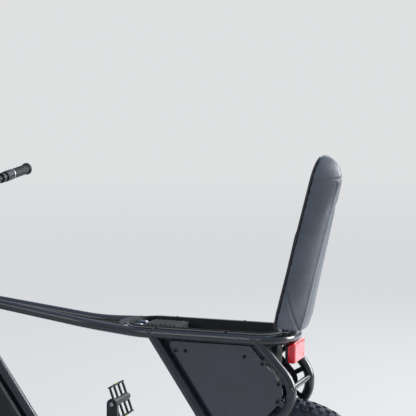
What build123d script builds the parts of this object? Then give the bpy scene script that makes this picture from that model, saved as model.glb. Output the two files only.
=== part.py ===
from build123d import *
import os
from math import cos, pi, radians, sin, sqrt, tan

# An electric bicycle on fat 20 inch tyres, with twin top tubes that run back
# into a seat rail, a battery box under a seat that hinges open, a rear hub
# motor and a two-legged centre stand. All sizes in millimetres.
# Each piece is placed from the floor under the rear axle: X forward, Y to the
# rider's left, Z up. At the end all is moved so that the origin lies on the
# floor midway between the two axles.

# Wheels and tyres
WHEELBASE = 1230.0
TYRE_RADIUS = 297.0
TYRE_WIDTH = 100.0
TYRE_CASING = 6.0
RIM_BED_RADIUS = 200.0
RIM_WIDTH = 80.0
RIM_WALL = 4.0
RIM_BED_DEPTH = 12.0
RIM_FLANGE_HEIGHT = 13.5
SPOKE_COUNT = 36
SPOKE_RADIUS = 1.6
NIPPLE_RADIUS = 3.0
NIPPLE_LENGTH = 13.0
SPOKE_RIM_OFFSET = 12.0
DISC_RADIUS = 90.0
DISC_THICKNESS = 2.0
DISC_TRACK = 16.0
DISC_BORE_RADIUS = 17.2
DISC_SEAT_RADIUS = 25.0
REAR_HUB_HALF = 87.5
AXLE_RADIUS = 6.0
AXLE_END = 16.0
SPACER_RADIUS = 9.0
MOTOR_RADIUS = 98.0
MOTOR_HALF = 46.0
MOTOR_FLANGE_Y = 34.0
MOTOR_FLANGE_HEIGHT = 8.0
FLANGE_THICKNESS = 5.0
REAR_DISC_Y = 72.0
FRONT_FLANGE_RADIUS = 30.0
FRONT_FLANGE_Y = 34.5

# Tubes of the frame
TUBE_RADIUS = 14.3
DOWN_TUBE_RADIUS = 17.5
CHAINSTAY_RADIUS = 11.0
CROSSBAR_RADIUS = 8.0
RAIL_HALF_SPACING = 94.0
RAIL_HEIGHT = 771.0
RAIL_REAR = -16.0
RAIL_CORNER = 75.0
RAIL_FRONT = 420.0
NECK_REAR = 590.0
NECK_HALF_SPACING = 42.0
NECK_RISE = 4.2
NECK_SLOPE = 0.128
NECK_BEND = 400.0
RAIL_FRONT_BEND = 300.0
DOWN_TUBE_BEND = 160.0
STAY_BEND = 120.0
STAY_FOOT_X = 68.714
STAY_TOP_X = 379.0
STAY_FOOT_RISE = 9.5
HOOP_TOP_X = 66.0
HOOP_REACH = -66.8
HOOP_CORNER_DROP = 148.0
HOOP_FOOT_DROP = 366.0
HOOP_BEND = 85.0
CROSSBAR_SHARE = 0.38

# Head tube and steering
HEAD_SETBACK = 225.0
HEAD_DROP = 38.32
HEAD_ANGLE = 70.0
HEAD_RADIUS = 28.0
HEAD_BORE = 22.0
HEAD_HALF = 75.0
STEERER_RADIUS = 14.3
CUP_HEIGHT = 9.0
LEG_OFFSET = 12.0
STANCHION_RADIUS = 16.0
LOWER_RADIUS = 20.0
TYRE_SIDE_ROOM = 10.0
CROWN_HEIGHT = 36.0
ARCH_ROOM = 16.0
ARCH_THICKNESS = 14.0
ARCH_DEPTH = 22.0
STEM_PLACE = 112.0
STEM_REACH = 55.0
STEM_CLAMP_HALF = 23.0
BAR_RADIUS = 11.1

# Drive
CRANK_X = 578.0
CRANK_Z = 338.0
CRANK_LENGTH = 170.0
SHELL_RADIUS = 22.0
SHELL_HALF = 50.0
CHAINLINE = 74.0
CHAIN_PITCH = 12.7
CHAINRING_TEETH = 44
SPROCKET_TEETH = 16
CHAIN_HEIGHT = 8.4
CHAIN_WIDTH = 7.8
CHAIN_PLATE = 1.4
ROLLER_BAND = 5.4
TOOTH_THICKNESS = 2.4
CRANK_ARM_Y = 84.0
CRANK_ARM_THICKNESS = 14.0
CRANK_EYE_RADIUS = 17.0
CRANK_BOSS_RADIUS = 20.0
SPINDLE_RADIUS = 7.0
PEDAL_LENGTH = 102.0
PEDAL_WIDTH = 104.0
PEDAL_THICKNESS = 6.0
PEDAL_FRAME = 5.5
PEDAL_TILT = -70.0

# Battery box, panels and seat
BOX_HALF_WIDTH = 74.0
BOX_WALL = 2.5
BOX_FRONT = 470.0
BOX_REAR = 24.0
BOX_TYRE_ROOM = 22.0
BOX_CORNER = 55.0
BOX_DRAFT = 1.5
SHELF_DROP = 11.5
LIP_OUTER = 97.0
LIP_THICKNESS = 2.5
LIP_REAR = 0.0
LIP_FRONT = 476.0
LIP_CORNER = 67.0
BATTERY_REAR = 55.5
BATTERY_LENGTH = 304.0
BATTERY_WIDTH = 116.0
BATTERY_SINK = 25.3
BATTERY_HEAD_REAR = 315.0
BATTERY_HEAD_FRONT = 425.0
BATTERY_HEAD_WIDTH = 90.0
BATTERY_HEAD_SINK = 4.0
HEAD_RIB_PITCH = 13.6
PANEL_THICKNESS = 2.5
PANEL_STANDOFF = 2.5
PANEL_TUBE_GAP = 9.0
PANEL_HOOP_GAP = 16.0
PANEL_RAIL_GAP = 7.0
GUSSET_TIP = 508.0
GUSSET_THICKNESS = 3.0
SEAT_PAN = 6.0
SEAT_LIFT = 5.2
SEAT_OPEN_ANGLE = 103.0
SEAT_SKIRT = 7.0
HINGE_X = 14.5
HINGE_HEIGHT = 6.0
HINGE_TO_SEAT = 5.8
HINGE_HALF = 45.0
HINGE_INNER_HALF = 20.0
HINGE_RADIUS = 5.0
HINGE_PIN_RADIUS = 2.5

# Lamp at the rear
LAMP_HALF_WIDTH = 52.0
LAMP_FRONT = -14.0
LAMP_REAR = -34.0
LAMP_HEIGHT = 60.0
LAMP_DROP = 9.0
LAMP_SLOPE = 10.0
LAMP_CASE_DEPTH = 9.0
LAMP_CASE_INSET = 1.0
LAMP_FLANGE_HALF = 28.0
LAMP_FLANGE_THICKNESS = 3.0

# Controller case under the down tube
CASE_ALONG = 175.0
CASE_LENGTH = 210.0
CASE_WIDTH = 84.0
CASE_DEPTH = 66.0
CASE_SEAT = 5.0
FIN_PITCH = 14.0
FIN_DEPTH = 5.0

# Centre stand
STAND_X = 430.0
STAND_PLATE_DROP = 16.0
STAND_PLATE = 6.0
STAND_PLATE_LENGTH = 60.0
STAND_PLATE_WIDTH = 120.0
STAND_REACH = 107.0
STAND_HEAD_HALF = 20.0
STAND_SLEEVE_END = 46.0
STAND_PIN_RADIUS = 6.0
STAND_SLEEVE_RADIUS = 13.0
STAND_LEG_RADIUS = 9.0
FOOT_FORWARD = 18.0
FOOT_HALF_SPREAD = 145.0

# Clearances and places worked out from the sizes above
MOVING_GAP = 0.4
CALIPER_GAP = 1.4
PANEL_BACK = BOX_HALF_WIDTH + PANEL_STANDOFF
PANEL_FACE = PANEL_BACK + PANEL_THICKNESS
BOX_FLOOR = 2 * TYRE_RADIUS + BOX_TYRE_ROOM
RAIL_TOP = RAIL_HEIGHT + TUBE_RADIUS
LIP_TOP = RAIL_TOP + LIP_THICKNESS
BATTERY_HEIGHT = LIP_TOP - BATTERY_SINK - BOX_FLOOR - BOX_WALL
SEAT_UNDERSIDE = LIP_TOP + SEAT_LIFT
HINGE_Z = SEAT_UNDERSIDE + HINGE_HEIGHT
SEAT_REAR = HINGE_X + HINGE_TO_SEAT
AXLE_Z = TYRE_RADIUS
STAY_FOOT_Z = AXLE_Z + STAY_FOOT_RISE
STAY_SLOPE = (STAY_TOP_X - STAY_FOOT_X) / (RAIL_HEIGHT - STAY_FOOT_Z)
SHELF_FLOOR = RAIL_HEIGHT - SHELF_DROP
LEG_HALF_SPACING = TYRE_WIDTH / 2 + TYRE_SIDE_ROOM + LOWER_RADIUS
FRONT_HUB_HALF = LEG_HALF_SPACING - 5.0
FRONT_DISC_Y = LEG_HALF_SPACING - LOWER_RADIUS - 6.0
CROWN_TOP = -HEAD_HALF - CUP_HEIGHT - 2.0
PEDAL_START = CRANK_ARM_Y + CRANK_ARM_THICKNESS + 6.0
STAND_PIVOT_Z = CRANK_Z - STAND_PLATE_DROP - STAND_REACH


def neck_height(x):
    """Height of the top tubes' centre line ahead of the rail's front bend."""
    return RAIL_HEIGHT + NECK_RISE + NECK_SLOPE * (x - NECK_REAR)


HEAD_X = WHEELBASE - HEAD_SETBACK
HEAD_Z = neck_height(HEAD_X) - HEAD_DROP

# The steering axis: local X runs forward from it, local Z up along it
STEER = Plane(
    origin=(HEAD_X, 0, HEAD_Z),
    x_dir=(sin(radians(HEAD_ANGLE)), 0, cos(radians(HEAD_ANGLE))),
    z_dir=(-cos(radians(HEAD_ANGLE)), 0, sin(radians(HEAD_ANGLE))),
)


def rod(start, end, radius):
    """A round bar from one point to another."""
    start, end = Vector(*start), Vector(*end)
    run = end - start
    return Solid.make_cylinder(radius, run.length, Plane(origin=start, z_dir=run))


def bent_tube(points, radii, radius):
    """A round tube along straight runs joined by tangent arcs."""
    path = FilletPolyline(*points, radius=radii)
    section = Plane(origin=path @ 0, z_dir=path % 0) * Circle(radius)
    return sweep(section, path=path)


def across(x, z, half_width, radius):
    """A round bar along Y, centred on the bike's middle plane."""
    return rod((x, -half_width, z), (x, half_width, z), radius)


def across_from(x, z, y_start, y_end, radius):
    """A round bar along Y between two places."""
    return rod((x, y_start, z), (x, y_end, z), radius)


def side_plate(face, y_low, thickness):
    """A plate drawn in the side view (X, Z) and standing from y_low upward in Y."""
    return Pos(0, y_low + thickness, 0) * Rot(90, 0, 0) * extrude(face, thickness)


def mirrored(shape):
    return shape.mirror(Plane.XZ)


def largest(shape):
    return shape.solids().sort_by(SortBy.VOLUME)[-1]


# Frame tubes


def make_head_tube():
    """Head tube with its two bearing cups."""
    tube = Cylinder(HEAD_RADIUS, 2 * HEAD_HALF) - Cylinder(HEAD_BORE, 2 * HEAD_HALF)
    for side in (-1, 1):
        cup_z = side * (HEAD_HALF + CUP_HEIGHT / 2)
        cup = Cylinder(HEAD_RADIUS + 1.0, CUP_HEIGHT) - Cylinder(STEERER_RADIUS + MOVING_GAP, CUP_HEIGHT)
        seat_z = side * (HEAD_HALF - CUP_HEIGHT / 2)
        seat = Cylinder(HEAD_BORE, CUP_HEIGHT) - Cylinder(STEERER_RADIUS + MOVING_GAP, CUP_HEIGHT)
        tube = tube + Pos(0, 0, cup_z) * cup + Pos(0, 0, seat_z) * seat
    return STEER * tube


def head_envelope():
    return STEER * Cylinder(HEAD_RADIUS, 2 * HEAD_HALF)


def make_main_tube():
    """Left top tube and its half of the seat rail, one bent tube."""
    head_end_x = HEAD_X - 13.0
    points = [
        (head_end_x, TUBE_RADIUS + 1.2, neck_height(head_end_x)),
        (NECK_REAR, NECK_HALF_SPACING, neck_height(NECK_REAR)),
        (RAIL_FRONT, RAIL_HALF_SPACING, RAIL_HEIGHT),
        (RAIL_REAR, RAIL_HALF_SPACING, RAIL_HEIGHT),
        (RAIL_REAR, 0, RAIL_HEIGHT),
    ]
    return bent_tube(points, [NECK_BEND, RAIL_FRONT_BEND, RAIL_CORNER], TUBE_RADIUS) - head_envelope()


def shell_envelope():
    return across(CRANK_X, CRANK_Z, SHELL_HALF, SHELL_RADIUS)


DOWN_TUBE_TOP = Vector(HEAD_X + 8.0, 0, HEAD_Z - 22.0)
DOWN_TUBE_KNEE = Vector(CRANK_X + 160.0, 0, CRANK_Z + 36.0)


def make_down_tube():
    points = [tuple(DOWN_TUBE_TOP), tuple(DOWN_TUBE_KNEE), (CRANK_X, 0, CRANK_Z)]
    tube = bent_tube(points, [DOWN_TUBE_BEND], DOWN_TUBE_RADIUS)
    return tube - head_envelope() - shell_envelope()


def make_bottom_bracket():
    """Shell with the two bearing cups that the crank spindle runs in."""
    cup_radius = SHELL_RADIUS - 5
    shell = shell_envelope() - across(CRANK_X, CRANK_Z, SHELL_HALF, cup_radius)
    for side in (-1, 1):
        cup = across_from(CRANK_X, CRANK_Z, side * (SHELL_HALF - 12), side * (SHELL_HALF + 8), cup_radius)
        flange = across_from(CRANK_X, CRANK_Z, side * SHELL_HALF, side * (SHELL_HALF + 8), SHELL_RADIUS - 1)
        hole = across_from(CRANK_X, CRANK_Z, side * (SHELL_HALF - 13), side * (SHELL_HALF + 9), 9.0)
        shell = shell + cup + flange - hole
    return shell


CHAINSTAY_KNEE_BACK = 274.0
CHAINSTAY_KNEE_OUT = 26.0
CHAINSTAY_KNEE_DROP = 24.0


def make_chainstay():
    points = [
        (CRANK_X, SHELL_HALF - 4, CRANK_Z - 4),
        (CRANK_X - CHAINSTAY_KNEE_BACK, SHELL_HALF + CHAINSTAY_KNEE_OUT, CRANK_Z - CHAINSTAY_KNEE_DROP),
        (STAY_FOOT_X + 50, RAIL_HALF_SPACING, AXLE_Z + 8),
        (46.0, RAIL_HALF_SPACING, AXLE_Z + 1),
    ]
    tube = bent_tube(points, [STAY_BEND, STAY_BEND], CHAINSTAY_RADIUS)
    return tube - across(CRANK_X, CRANK_Z, SHELL_HALF + 12, SHELL_RADIUS)


EYELET_X = -22.0
EYELET_RISE = 28.0
EYELET_RADIUS = 2.5
CALIPER_LUG = (17.0, 64.3)
CALIPER_TURN = 15.0


def make_dropout(chainstay):
    """Axle plate with an open slot, a threaded eyelet behind it and a brake lug above."""
    axle = (Pos(0, AXLE_Z) * Circle(23.0)).edges()
    outline = make_hull(axle + (Pos(47.0, AXLE_Z + 1) * Rectangle(4.0, 30.0)).edges())
    outline += make_hull(axle + (Pos(EYELET_X, AXLE_Z + EYELET_RISE) * Circle(8.0)).edges())
    outline += make_hull(axle + (Pos(CALIPER_LUG[0], AXLE_Z + CALIPER_LUG[1]) * Circle(13.0)).edges())
    outline -= Pos(0, AXLE_Z) * Circle(AXLE_RADIUS + MOVING_GAP)
    outline -= Pos(0, AXLE_Z - 20) * Rectangle(2 * (AXLE_RADIUS + MOVING_GAP), 40.0)
    outline -= Pos(EYELET_X, AXLE_Z + EYELET_RISE) * Circle(EYELET_RADIUS)
    return chainstay + side_plate(outline, REAR_HUB_HALF, 7.0)


def on_stay(drop):
    """Side-view place on the seat stay's centre line, so far below the rail."""
    return (STAY_TOP_X - STAY_SLOPE * drop, RAIL_HEIGHT - drop)


HOOP_TOP = (HOOP_TOP_X, RAIL_HEIGHT)
HOOP_CORNER = (HOOP_REACH, RAIL_HEIGHT - HOOP_CORNER_DROP)
HOOP_FOOT = on_stay(HOOP_FOOT_DROP)
STAY_FOOT = on_stay(RAIL_HEIGHT - STAY_FOOT_Z)

# Welded tabs that hold the side panel: place along the tube's path, from 0 to 1
STAY_TABS = (0.14, 0.62)
HOOP_TABS = (0.13, 0.30, 0.50, 0.80)


def panel_tab(path, share, inward, gap):
    """A small plate from the tube to the panel's outer face, square to the tube."""
    tangent = path % share
    toward = Vector(-tangent.Z, 0, tangent.X) * inward
    reach = gap + 12.0
    middle = path @ share + toward * (TUBE_RADIUS + reach / 2 - 4)
    place = Plane(origin=(middle.X, PANEL_FACE + 1.5, middle.Z), x_dir=tangent, z_dir=(0, 1, 0))
    return place * Box(14.0, reach + 6, 3.0)


def make_seat_stay(main_tube, chainstay):
    """Straight stay from the rail down over the chainstay, with its panel tabs."""
    path = Line((STAY_TOP_X, RAIL_HALF_SPACING, RAIL_HEIGHT), (STAY_FOOT[0], RAIL_HALF_SPACING, STAY_FOOT[1]))
    bar = rod(path @ 0, path @ 1, TUBE_RADIUS)
    for share in STAY_TABS:
        bar = bar + panel_tab(path, share, -1, PANEL_TUBE_GAP)
    return largest(bar - main_tube - chainstay)


def make_hoop_side(main_tube, stay):
    """The tube that bends round behind the panel, with its panel tabs."""
    points = [(x, RAIL_HALF_SPACING, z) for x, z in (HOOP_TOP, HOOP_CORNER, HOOP_FOOT)]
    path = FilletPolyline(*points, radius=HOOP_BEND)
    tube = bent_tube(points, [HOOP_BEND], TUBE_RADIUS)
    for share in HOOP_TABS:
        tube = tube + panel_tab(path, share, 1, PANEL_HOOP_GAP)
    return largest(tube - main_tube - stay)


def crossbar_place():
    """Side-view place on the hoop's bend where the crossbar sits."""
    points = [(x, RAIL_HALF_SPACING, z) for x, z in (HOOP_TOP, HOOP_CORNER, HOOP_FOOT)]
    place = FilletPolyline(*points, radius=HOOP_BEND).edges()[1] @ CROSSBAR_SHARE
    return place.X, place.Z


def make_stand_bracket(chainstays):
    """Plate between the chainstays with two cheeks that hang below the chain."""
    plate_z = CRANK_Z - STAND_PLATE_DROP
    plate = Pos(STAND_X, 0, plate_z) * Box(STAND_PLATE_LENGTH, STAND_PLATE_WIDTH, STAND_PLATE)
    cheek = make_hull(
        (Pos(STAND_X, plate_z - STAND_PLATE / 2) * Rectangle(52.0, 1.0)).edges()
        + (Pos(STAND_X, STAND_PIVOT_Z) * Circle(15.0)).edges()
    )
    body = plate - chainstays
    for side_start in (-STAND_HEAD_HALF, STAND_HEAD_HALF - STAND_PLATE):
        body = body + side_plate(cheek, side_start, STAND_PLATE)
    return body + across(STAND_X, STAND_PIVOT_Z, STAND_SLEEVE_END + 1, STAND_PIN_RADIUS)


# Battery box


def box_outline(inset):
    """The box in plan: straight sides with well rounded corners."""
    length = BOX_FRONT - BOX_REAR - 2 * inset
    centre = (BOX_FRONT + BOX_REAR) / 2
    return Pos(centre, 0) * RectangleRounded(length, 2 * (BOX_HALF_WIDTH - inset), BOX_CORNER - inset)


def box_side(inset):
    """The box in side view: deep behind the seat stays' line, a shallow shelf ahead of it."""
    floor, shelf = BOX_FLOOR + inset, SHELF_FLOOR - BOX_WALL + inset
    rake = inset * sqrt(1 + STAY_SLOPE**2)
    corners = [
        (LIP_REAR, floor),
        (on_stay(RAIL_HEIGHT - floor)[0] - rake, floor),
        (on_stay(RAIL_HEIGHT - shelf)[0] - rake, shelf),
        (LIP_FRONT, shelf),
        (LIP_FRONT, LIP_TOP + 1),
        (LIP_REAR, LIP_TOP + 1),
    ]
    return side_plate(make_face(Polyline(*corners, close=True)), -LIP_OUTER, 2 * LIP_OUTER)


def make_battery_tray(tubes):
    """Open moulded box whose drawn sides hang from a lip on the rail."""
    depth = RAIL_TOP - BOX_FLOOR
    outer = extrude(Pos(0, 0, RAIL_TOP) * box_outline(0), -depth, taper=BOX_DRAFT) & box_side(0)
    inner = extrude(Pos(0, 0, LIP_TOP) * box_outline(BOX_WALL), BOX_WALL - LIP_THICKNESS - depth, taper=BOX_DRAFT)
    inner = inner & box_side(BOX_WALL)
    lip_outline = RectangleRounded(LIP_FRONT - LIP_REAR, 2 * LIP_OUTER, LIP_CORNER)
    lip = Pos((LIP_FRONT + LIP_REAR) / 2, 0, RAIL_TOP) * extrude(lip_outline, LIP_THICKNESS)
    bead_outline = box_outline(-3.0) - box_outline(0)
    bead = extrude(Pos(0, 0, LIP_TOP) * bead_outline, 2.0)
    return outer + lip + bead - inner - tubes


def make_gusset_plate(tubes):
    """Grained cover between the converging top tubes, from its round nose to the lip."""
    half = NECK_HALF_SPACING + (NECK_REAR - LIP_FRONT) / (NECK_REAR - RAIL_FRONT) * (RAIL_HALF_SPACING - NECK_HALF_SPACING)
    with BuildSketch(Plane.XY.offset(LIP_TOP - GUSSET_THICKNESS)) as sketch:
        with BuildLine():
            Line((LIP_FRONT, -half), (LIP_FRONT, half))
            ThreePointArc((LIP_FRONT, half), (GUSSET_TIP, 0), (LIP_FRONT, -half))
        make_face()
    return largest(extrude(sketch.sketch, GUSSET_THICKNESS) - tubes)


def make_battery():
    """Closed pack with a raked front, ribs on top and a ribbed head that lies on the box's shelf."""
    bottom = BOX_FLOOR + BOX_WALL
    top = bottom + BATTERY_HEIGHT
    front = BATTERY_REAR + BATTERY_LENGTH
    corners = [(BATTERY_REAR, bottom), (front - STAY_SLOPE * BATTERY_HEIGHT, bottom), (front, top), (BATTERY_REAR, top)]
    outline = make_face(Polyline(*corners, close=True))
    outline = fillet(outline.vertices(), 8.0)
    pack = side_plate(outline, -BATTERY_WIDTH / 2, BATTERY_WIDTH)
    pack = chamfer(pack.edges().group_by(Axis.Y)[0] + pack.edges().group_by(Axis.Y)[-1], 2.0)
    for index in range(7):
        rib = Pos(BATTERY_REAR + 36 + index * 32.0, 0, top + 1.0) * Box(8.0, BATTERY_WIDTH - 30, 4.0)
        pack = pack + rib
    head_bottom, head_top = SHELF_FLOOR + 0.3, LIP_TOP - BATTERY_HEAD_SINK
    head_length = BATTERY_HEAD_FRONT - BATTERY_HEAD_REAR
    head_middle = (BATTERY_HEAD_FRONT + BATTERY_HEAD_REAR) / 2
    head = Box(head_length, BATTERY_HEAD_WIDTH, head_top - head_bottom)
    head = fillet(head.edges().filter_by(Axis.Z), 6.0)
    pack = pack + Pos(head_middle, 0, (head_bottom + head_top) / 2) * head
    rib_count = int((head_length - 8) / HEAD_RIB_PITCH)
    for index in range(rib_count):
        along = head_middle + (index - (rib_count - 1) / 2) * HEAD_RIB_PITCH
        pack = pack + Pos(along, 0, head_top + 1.0) * Box(HEAD_RIB_PITCH / 2, BATTERY_HEAD_WIDTH - 12, 4.0)
    return pack


def make_battery_plugs():
    """Two plug bodies on the shelf ahead of the battery's head."""
    plugs = []
    # ahead of the head, across, length, width, height
    for ahead, aside, length, width, height in ((26.0, 15.0, 26.0, 22.0, 22.0), (24.0, -19.0, 28.0, 20.0, 25.0)):
        middle = BATTERY_HEAD_FRONT + ahead
        body = Pos(middle, aside, SHELF_FLOOR + height / 2) * Box(length, width, height)
        body = chamfer(body.edges().group_by(Axis.Z)[-1], 4.0)
        collar = Pos(middle - length / 2 - 2, aside, SHELF_FLOOR + height / 2) * Rot(0, 90, 0) * Cylinder(8.0, 8.0)
        plugs.append(body + collar)
    return plugs


def side_line(start, end, distance):
    """A side-view line through two places, moved to its left by a distance."""
    run = Vector(end[0] - start[0], end[1] - start[1])
    left = Vector(-run.Y, run.X).normalized() * distance
    return Vector(start[0] + left.X, start[1] + left.Y), run


def crossing(first, second):
    """Where two such lines cross."""
    (start, run), (other, other_run) = first, second
    span = other - start
    share = (span.X * other_run.Y - span.Y * other_run.X) / (run.X * other_run.Y - run.Y * other_run.X)
    return (start.X + share * run.X, start.Y + share * run.Y)


PANEL_SCREWS = ((281.0, 47.0), (105.0, 52.0))


def make_side_panel():
    """Flat panel that follows rail, stay and hoop, on two spacers."""
    hoop_gap = TUBE_RADIUS + PANEL_HOOP_GAP
    top = side_line((STAY_TOP_X, RAIL_HEIGHT), HOOP_TOP, TUBE_RADIUS + PANEL_RAIL_GAP)
    rear_upper = side_line(HOOP_TOP, HOOP_CORNER, hoop_gap)
    rear_lower = side_line(HOOP_CORNER, HOOP_FOOT, hoop_gap)
    front = side_line(HOOP_FOOT, (STAY_TOP_X, RAIL_HEIGHT), TUBE_RADIUS + PANEL_TUBE_GAP)
    lines = [top, rear_upper, rear_lower, front]
    corners = [crossing(lines[index - 1], lines[index]) for index in range(4)]
    outline = make_face(Polyline(*corners, close=True))
    vertices = outline.vertices().sort_by(Axis.X)
    outline = fillet(vertices[0], HOOP_BEND - hoop_gap)
    outline = fillet(outline.vertices().sort_by(Axis.Y)[0], 12.0)
    outline = fillet(outline.vertices().sort_by(Axis.X)[-1], 10.0)
    panel = side_plate(outline, PANEL_BACK, PANEL_THICKNESS)
    for screw_x, drop in PANEL_SCREWS:
        spacer = across_from(screw_x, RAIL_HEIGHT - drop, BOX_HALF_WIDTH - 4, PANEL_BACK, 7.0)
        panel = panel + spacer
    return panel


# Tail light


def lamp_outline(front, rear):
    """Side view of the lamp with its top edge rising to the rear."""
    top = RAIL_HEIGHT - LAMP_DROP
    bottom = top - LAMP_HEIGHT
    return make_face(
        Polyline((front, bottom), (rear, bottom), (rear, top), (front, top - LAMP_SLOPE), close=True)
    )


def make_tail_light():
    """Red lens that wraps round both ends."""
    lens = side_plate(lamp_outline(LAMP_FRONT, LAMP_REAR), -LAMP_HALF_WIDTH, 2 * LAMP_HALF_WIDTH)
    lens = fillet(lens.edges().filter_by(Axis.Y).group_by(Axis.X)[0], 4.0)
    return fillet(lens.edges().filter_by(Axis.Z).group_by(Axis.X)[0], 5.0)


def make_tail_light_case(tubes):
    """Black back of the lamp with a flange up to the rear rail."""
    top = RAIL_HEIGHT - LAMP_DROP - LAMP_SLOPE - LAMP_CASE_INSET
    bottom = RAIL_HEIGHT - LAMP_DROP - LAMP_HEIGHT + LAMP_CASE_INSET
    back = Pos(LAMP_FRONT + LAMP_CASE_DEPTH / 2, 0, (top + bottom) / 2)
    case = back * Box(LAMP_CASE_DEPTH, 2 * (LAMP_HALF_WIDTH - LAMP_CASE_INSET), top - bottom)
    case = fillet(case.edges(), 2.0)
    foot = top - 6
    flange_x = LAMP_FRONT + LAMP_CASE_DEPTH - LAMP_FLANGE_THICKNESS / 2 - 0.5
    flange = Pos(flange_x, 0, (RAIL_HEIGHT + foot) / 2)
    flange = flange * Box(LAMP_FLANGE_THICKNESS, 2 * LAMP_FLANGE_HALF, RAIL_HEIGHT - foot)
    return case + flange - tubes


# Seat

SEAT_SECTIONS = [
    # along, half base, half top, height
    (0.0, 94.0, 38.0, 64.0),
    (45.0, 100.0, 42.0, 69.0),
    (230.0, 88.0, 30.0, 69.0),
    (428.0, 70.0, 14.0, 69.0),
    (446.0, 67.6, 13.5, 66.6),
    (464.0, 60.0, 12.0, 59.1),
    (482.0, 44.5, 9.0, 43.9),
    (496.0, 16.6, 4.0, 16.4),
]
# Rows that the straight body takes; the nose starts at the last of them
BODY_ROW_COUNT = 4


def seat_section(x, half_base, half_top, height, base):
    """One cross section: flat base, leaning sides and a gently crowned top."""
    shoulder = base + height * 0.93
    flank = (half_base + half_top) / 2 + half_base * 0.07
    flank_z = base + height * 0.51
    with BuildSketch(Plane(origin=(x, 0, 0), x_dir=(0, 1, 0), z_dir=(1, 0, 0))) as sketch:
        with BuildLine():
            Line((-half_base, base), (half_base, base))
            ThreePointArc((half_base, base), (flank, flank_z), (half_top, shoulder))
            ThreePointArc((half_top, shoulder), (0, base + height), (-half_top, shoulder))
            ThreePointArc((-half_top, shoulder), (-flank, flank_z), (-half_base, base))
        make_face()
    return sketch.sketch.faces()[0]


def opened(shape):
    """Turn a piece of the closed seat about its hinge to its open place."""
    return shape.rotate(Axis((HINGE_X, 0, HINGE_Z), (0, 1, 0)), -SEAT_OPEN_ANGLE)


def make_seat_cushion():
    base = SEAT_UNDERSIDE + SEAT_PAN
    sections = [seat_section(SEAT_REAR + row[0], row[1], row[2], row[3], base) for row in SEAT_SECTIONS]
    body = loft(sections[:BODY_ROW_COUNT], ruled=True)
    return opened(body + loft(sections[BODY_ROW_COUNT - 1 :]))


def make_seat_pan():
    """Moulded base plate with a skirt that enters the box's mouth and a hinge knuckle."""
    rear, middle, nose = (SEAT_REAR + SEAT_SECTIONS[index][0] for index in (1, 3, 7))
    rear_half, middle_half = (SEAT_SECTIONS[index][1] - 4 for index in (1, 3))
    with BuildSketch(Plane.XY.offset(SEAT_UNDERSIDE)) as sketch:
        with BuildLine():
            Polyline(
                (middle, middle_half),
                (rear, rear_half),
                (SEAT_REAR, rear_half - 6),
                (SEAT_REAR, 6 - rear_half),
                (rear, -rear_half),
                (middle, -middle_half),
            )
            ThreePointArc((middle, -middle_half), (nose - 8, 0), (middle, middle_half))
        make_face()
    plate = extrude(sketch.sketch, SEAT_PAN)
    skirt_rear, skirt_front = BOX_REAR + 32, BATTERY_HEAD_REAR - 10
    skirt_length, skirt_middle = skirt_front - skirt_rear, (skirt_front + skirt_rear) / 2
    skirt_width = 2 * (BOX_HALF_WIDTH - 16)
    skirt_face = RectangleRounded(skirt_length, skirt_width, 30.0) - RectangleRounded(skirt_length - 6, skirt_width - 6, 27.0)
    skirt = Pos(skirt_middle, 0, SEAT_UNDERSIDE - SEAT_SKIRT) * extrude(skirt_face, SEAT_SKIRT)
    for index in (-1, 0, 1):
        rib = Box(3.0, skirt_width - 4, SEAT_SKIRT - 2)
        skirt = skirt + Pos(skirt_middle + index * 70, 0, SEAT_UNDERSIDE - (SEAT_SKIRT - 2) / 2) * rib
    inner_half = HINGE_INNER_HALF - MOVING_GAP
    knuckle = across(HINGE_X, HINGE_Z, inner_half, HINGE_RADIUS)
    strap = Pos((HINGE_X + SEAT_REAR) / 2 + 1.9, 0, SEAT_UNDERSIDE + SEAT_PAN / 2) * Box(8.0, 2 * inner_half, SEAT_PAN)
    bore = across(HINGE_X, HINGE_Z, HINGE_INNER_HALF, HINGE_PIN_RADIUS + MOVING_GAP)
    return opened(plate + skirt + knuckle + strap - bore)


def make_seat_hinge():
    """Leaf on the lip with two knuckles and the pin."""
    leaf = Pos(0, 0, LIP_TOP + 1.25) * Box(24.0, 2 * HINGE_HALF, 2.5)
    for side in (-1, 1):
        knuckle = across_from(HINGE_X, HINGE_Z, side * HINGE_INNER_HALF, side * HINGE_HALF, HINGE_RADIUS)
        web_half = (HINGE_INNER_HALF + HINGE_HALF) / 2
        web_height = HINGE_Z - LIP_TOP - 3
        web = Pos(HINGE_X - 4.5, side * web_half, LIP_TOP + web_height / 2) * Box(6.0, 25.0, web_height)
        leaf = leaf + knuckle + web
    return leaf + across(HINGE_X, HINGE_Z, HINGE_HALF, HINGE_PIN_RADIUS)


# Wheels


def wheel_turned(profile):
    """Revolve a half section, drawn as (radius, Y), about the wheel's axle along Y."""
    return revolve(profile, Axis.Y)


def tyre_curve(thickness, steps):
    """Half section of the casing from bead to bead, in straight runs round an oval."""
    bead_angle = radians(136.0)
    half_height = (TYRE_RADIUS - RIM_BED_RADIUS) / 2
    centre = TYRE_RADIUS - half_height
    points = []
    for index in range(steps + 1):
        angle = bead_angle * (2 * index / steps - 1)
        along = (half_height - thickness) * cos(angle)
        points.append((centre + along, (TYRE_WIDTH / 2 - thickness) * sin(angle)))
    return points


def make_tyre():
    """Hollow casing whose beads sit on the rim bed inside its flanges."""
    bead_half = RIM_WIDTH / 2 - RIM_WALL - 0.4
    bead_foot = RIM_BED_RADIUS + 1.4
    outer, inner = tyre_curve(0, 13), tyre_curve(TYRE_CASING, 7)
    right_bead = [(bead_foot, bead_half), (bead_foot, bead_half - 8)]
    left_bead = [(bead_foot, 8 - bead_half), (bead_foot, -bead_half)]
    section = make_face(Polyline(*(outer + right_bead + inner[::-1] + left_bead), close=True))
    return wheel_turned(section)


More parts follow.
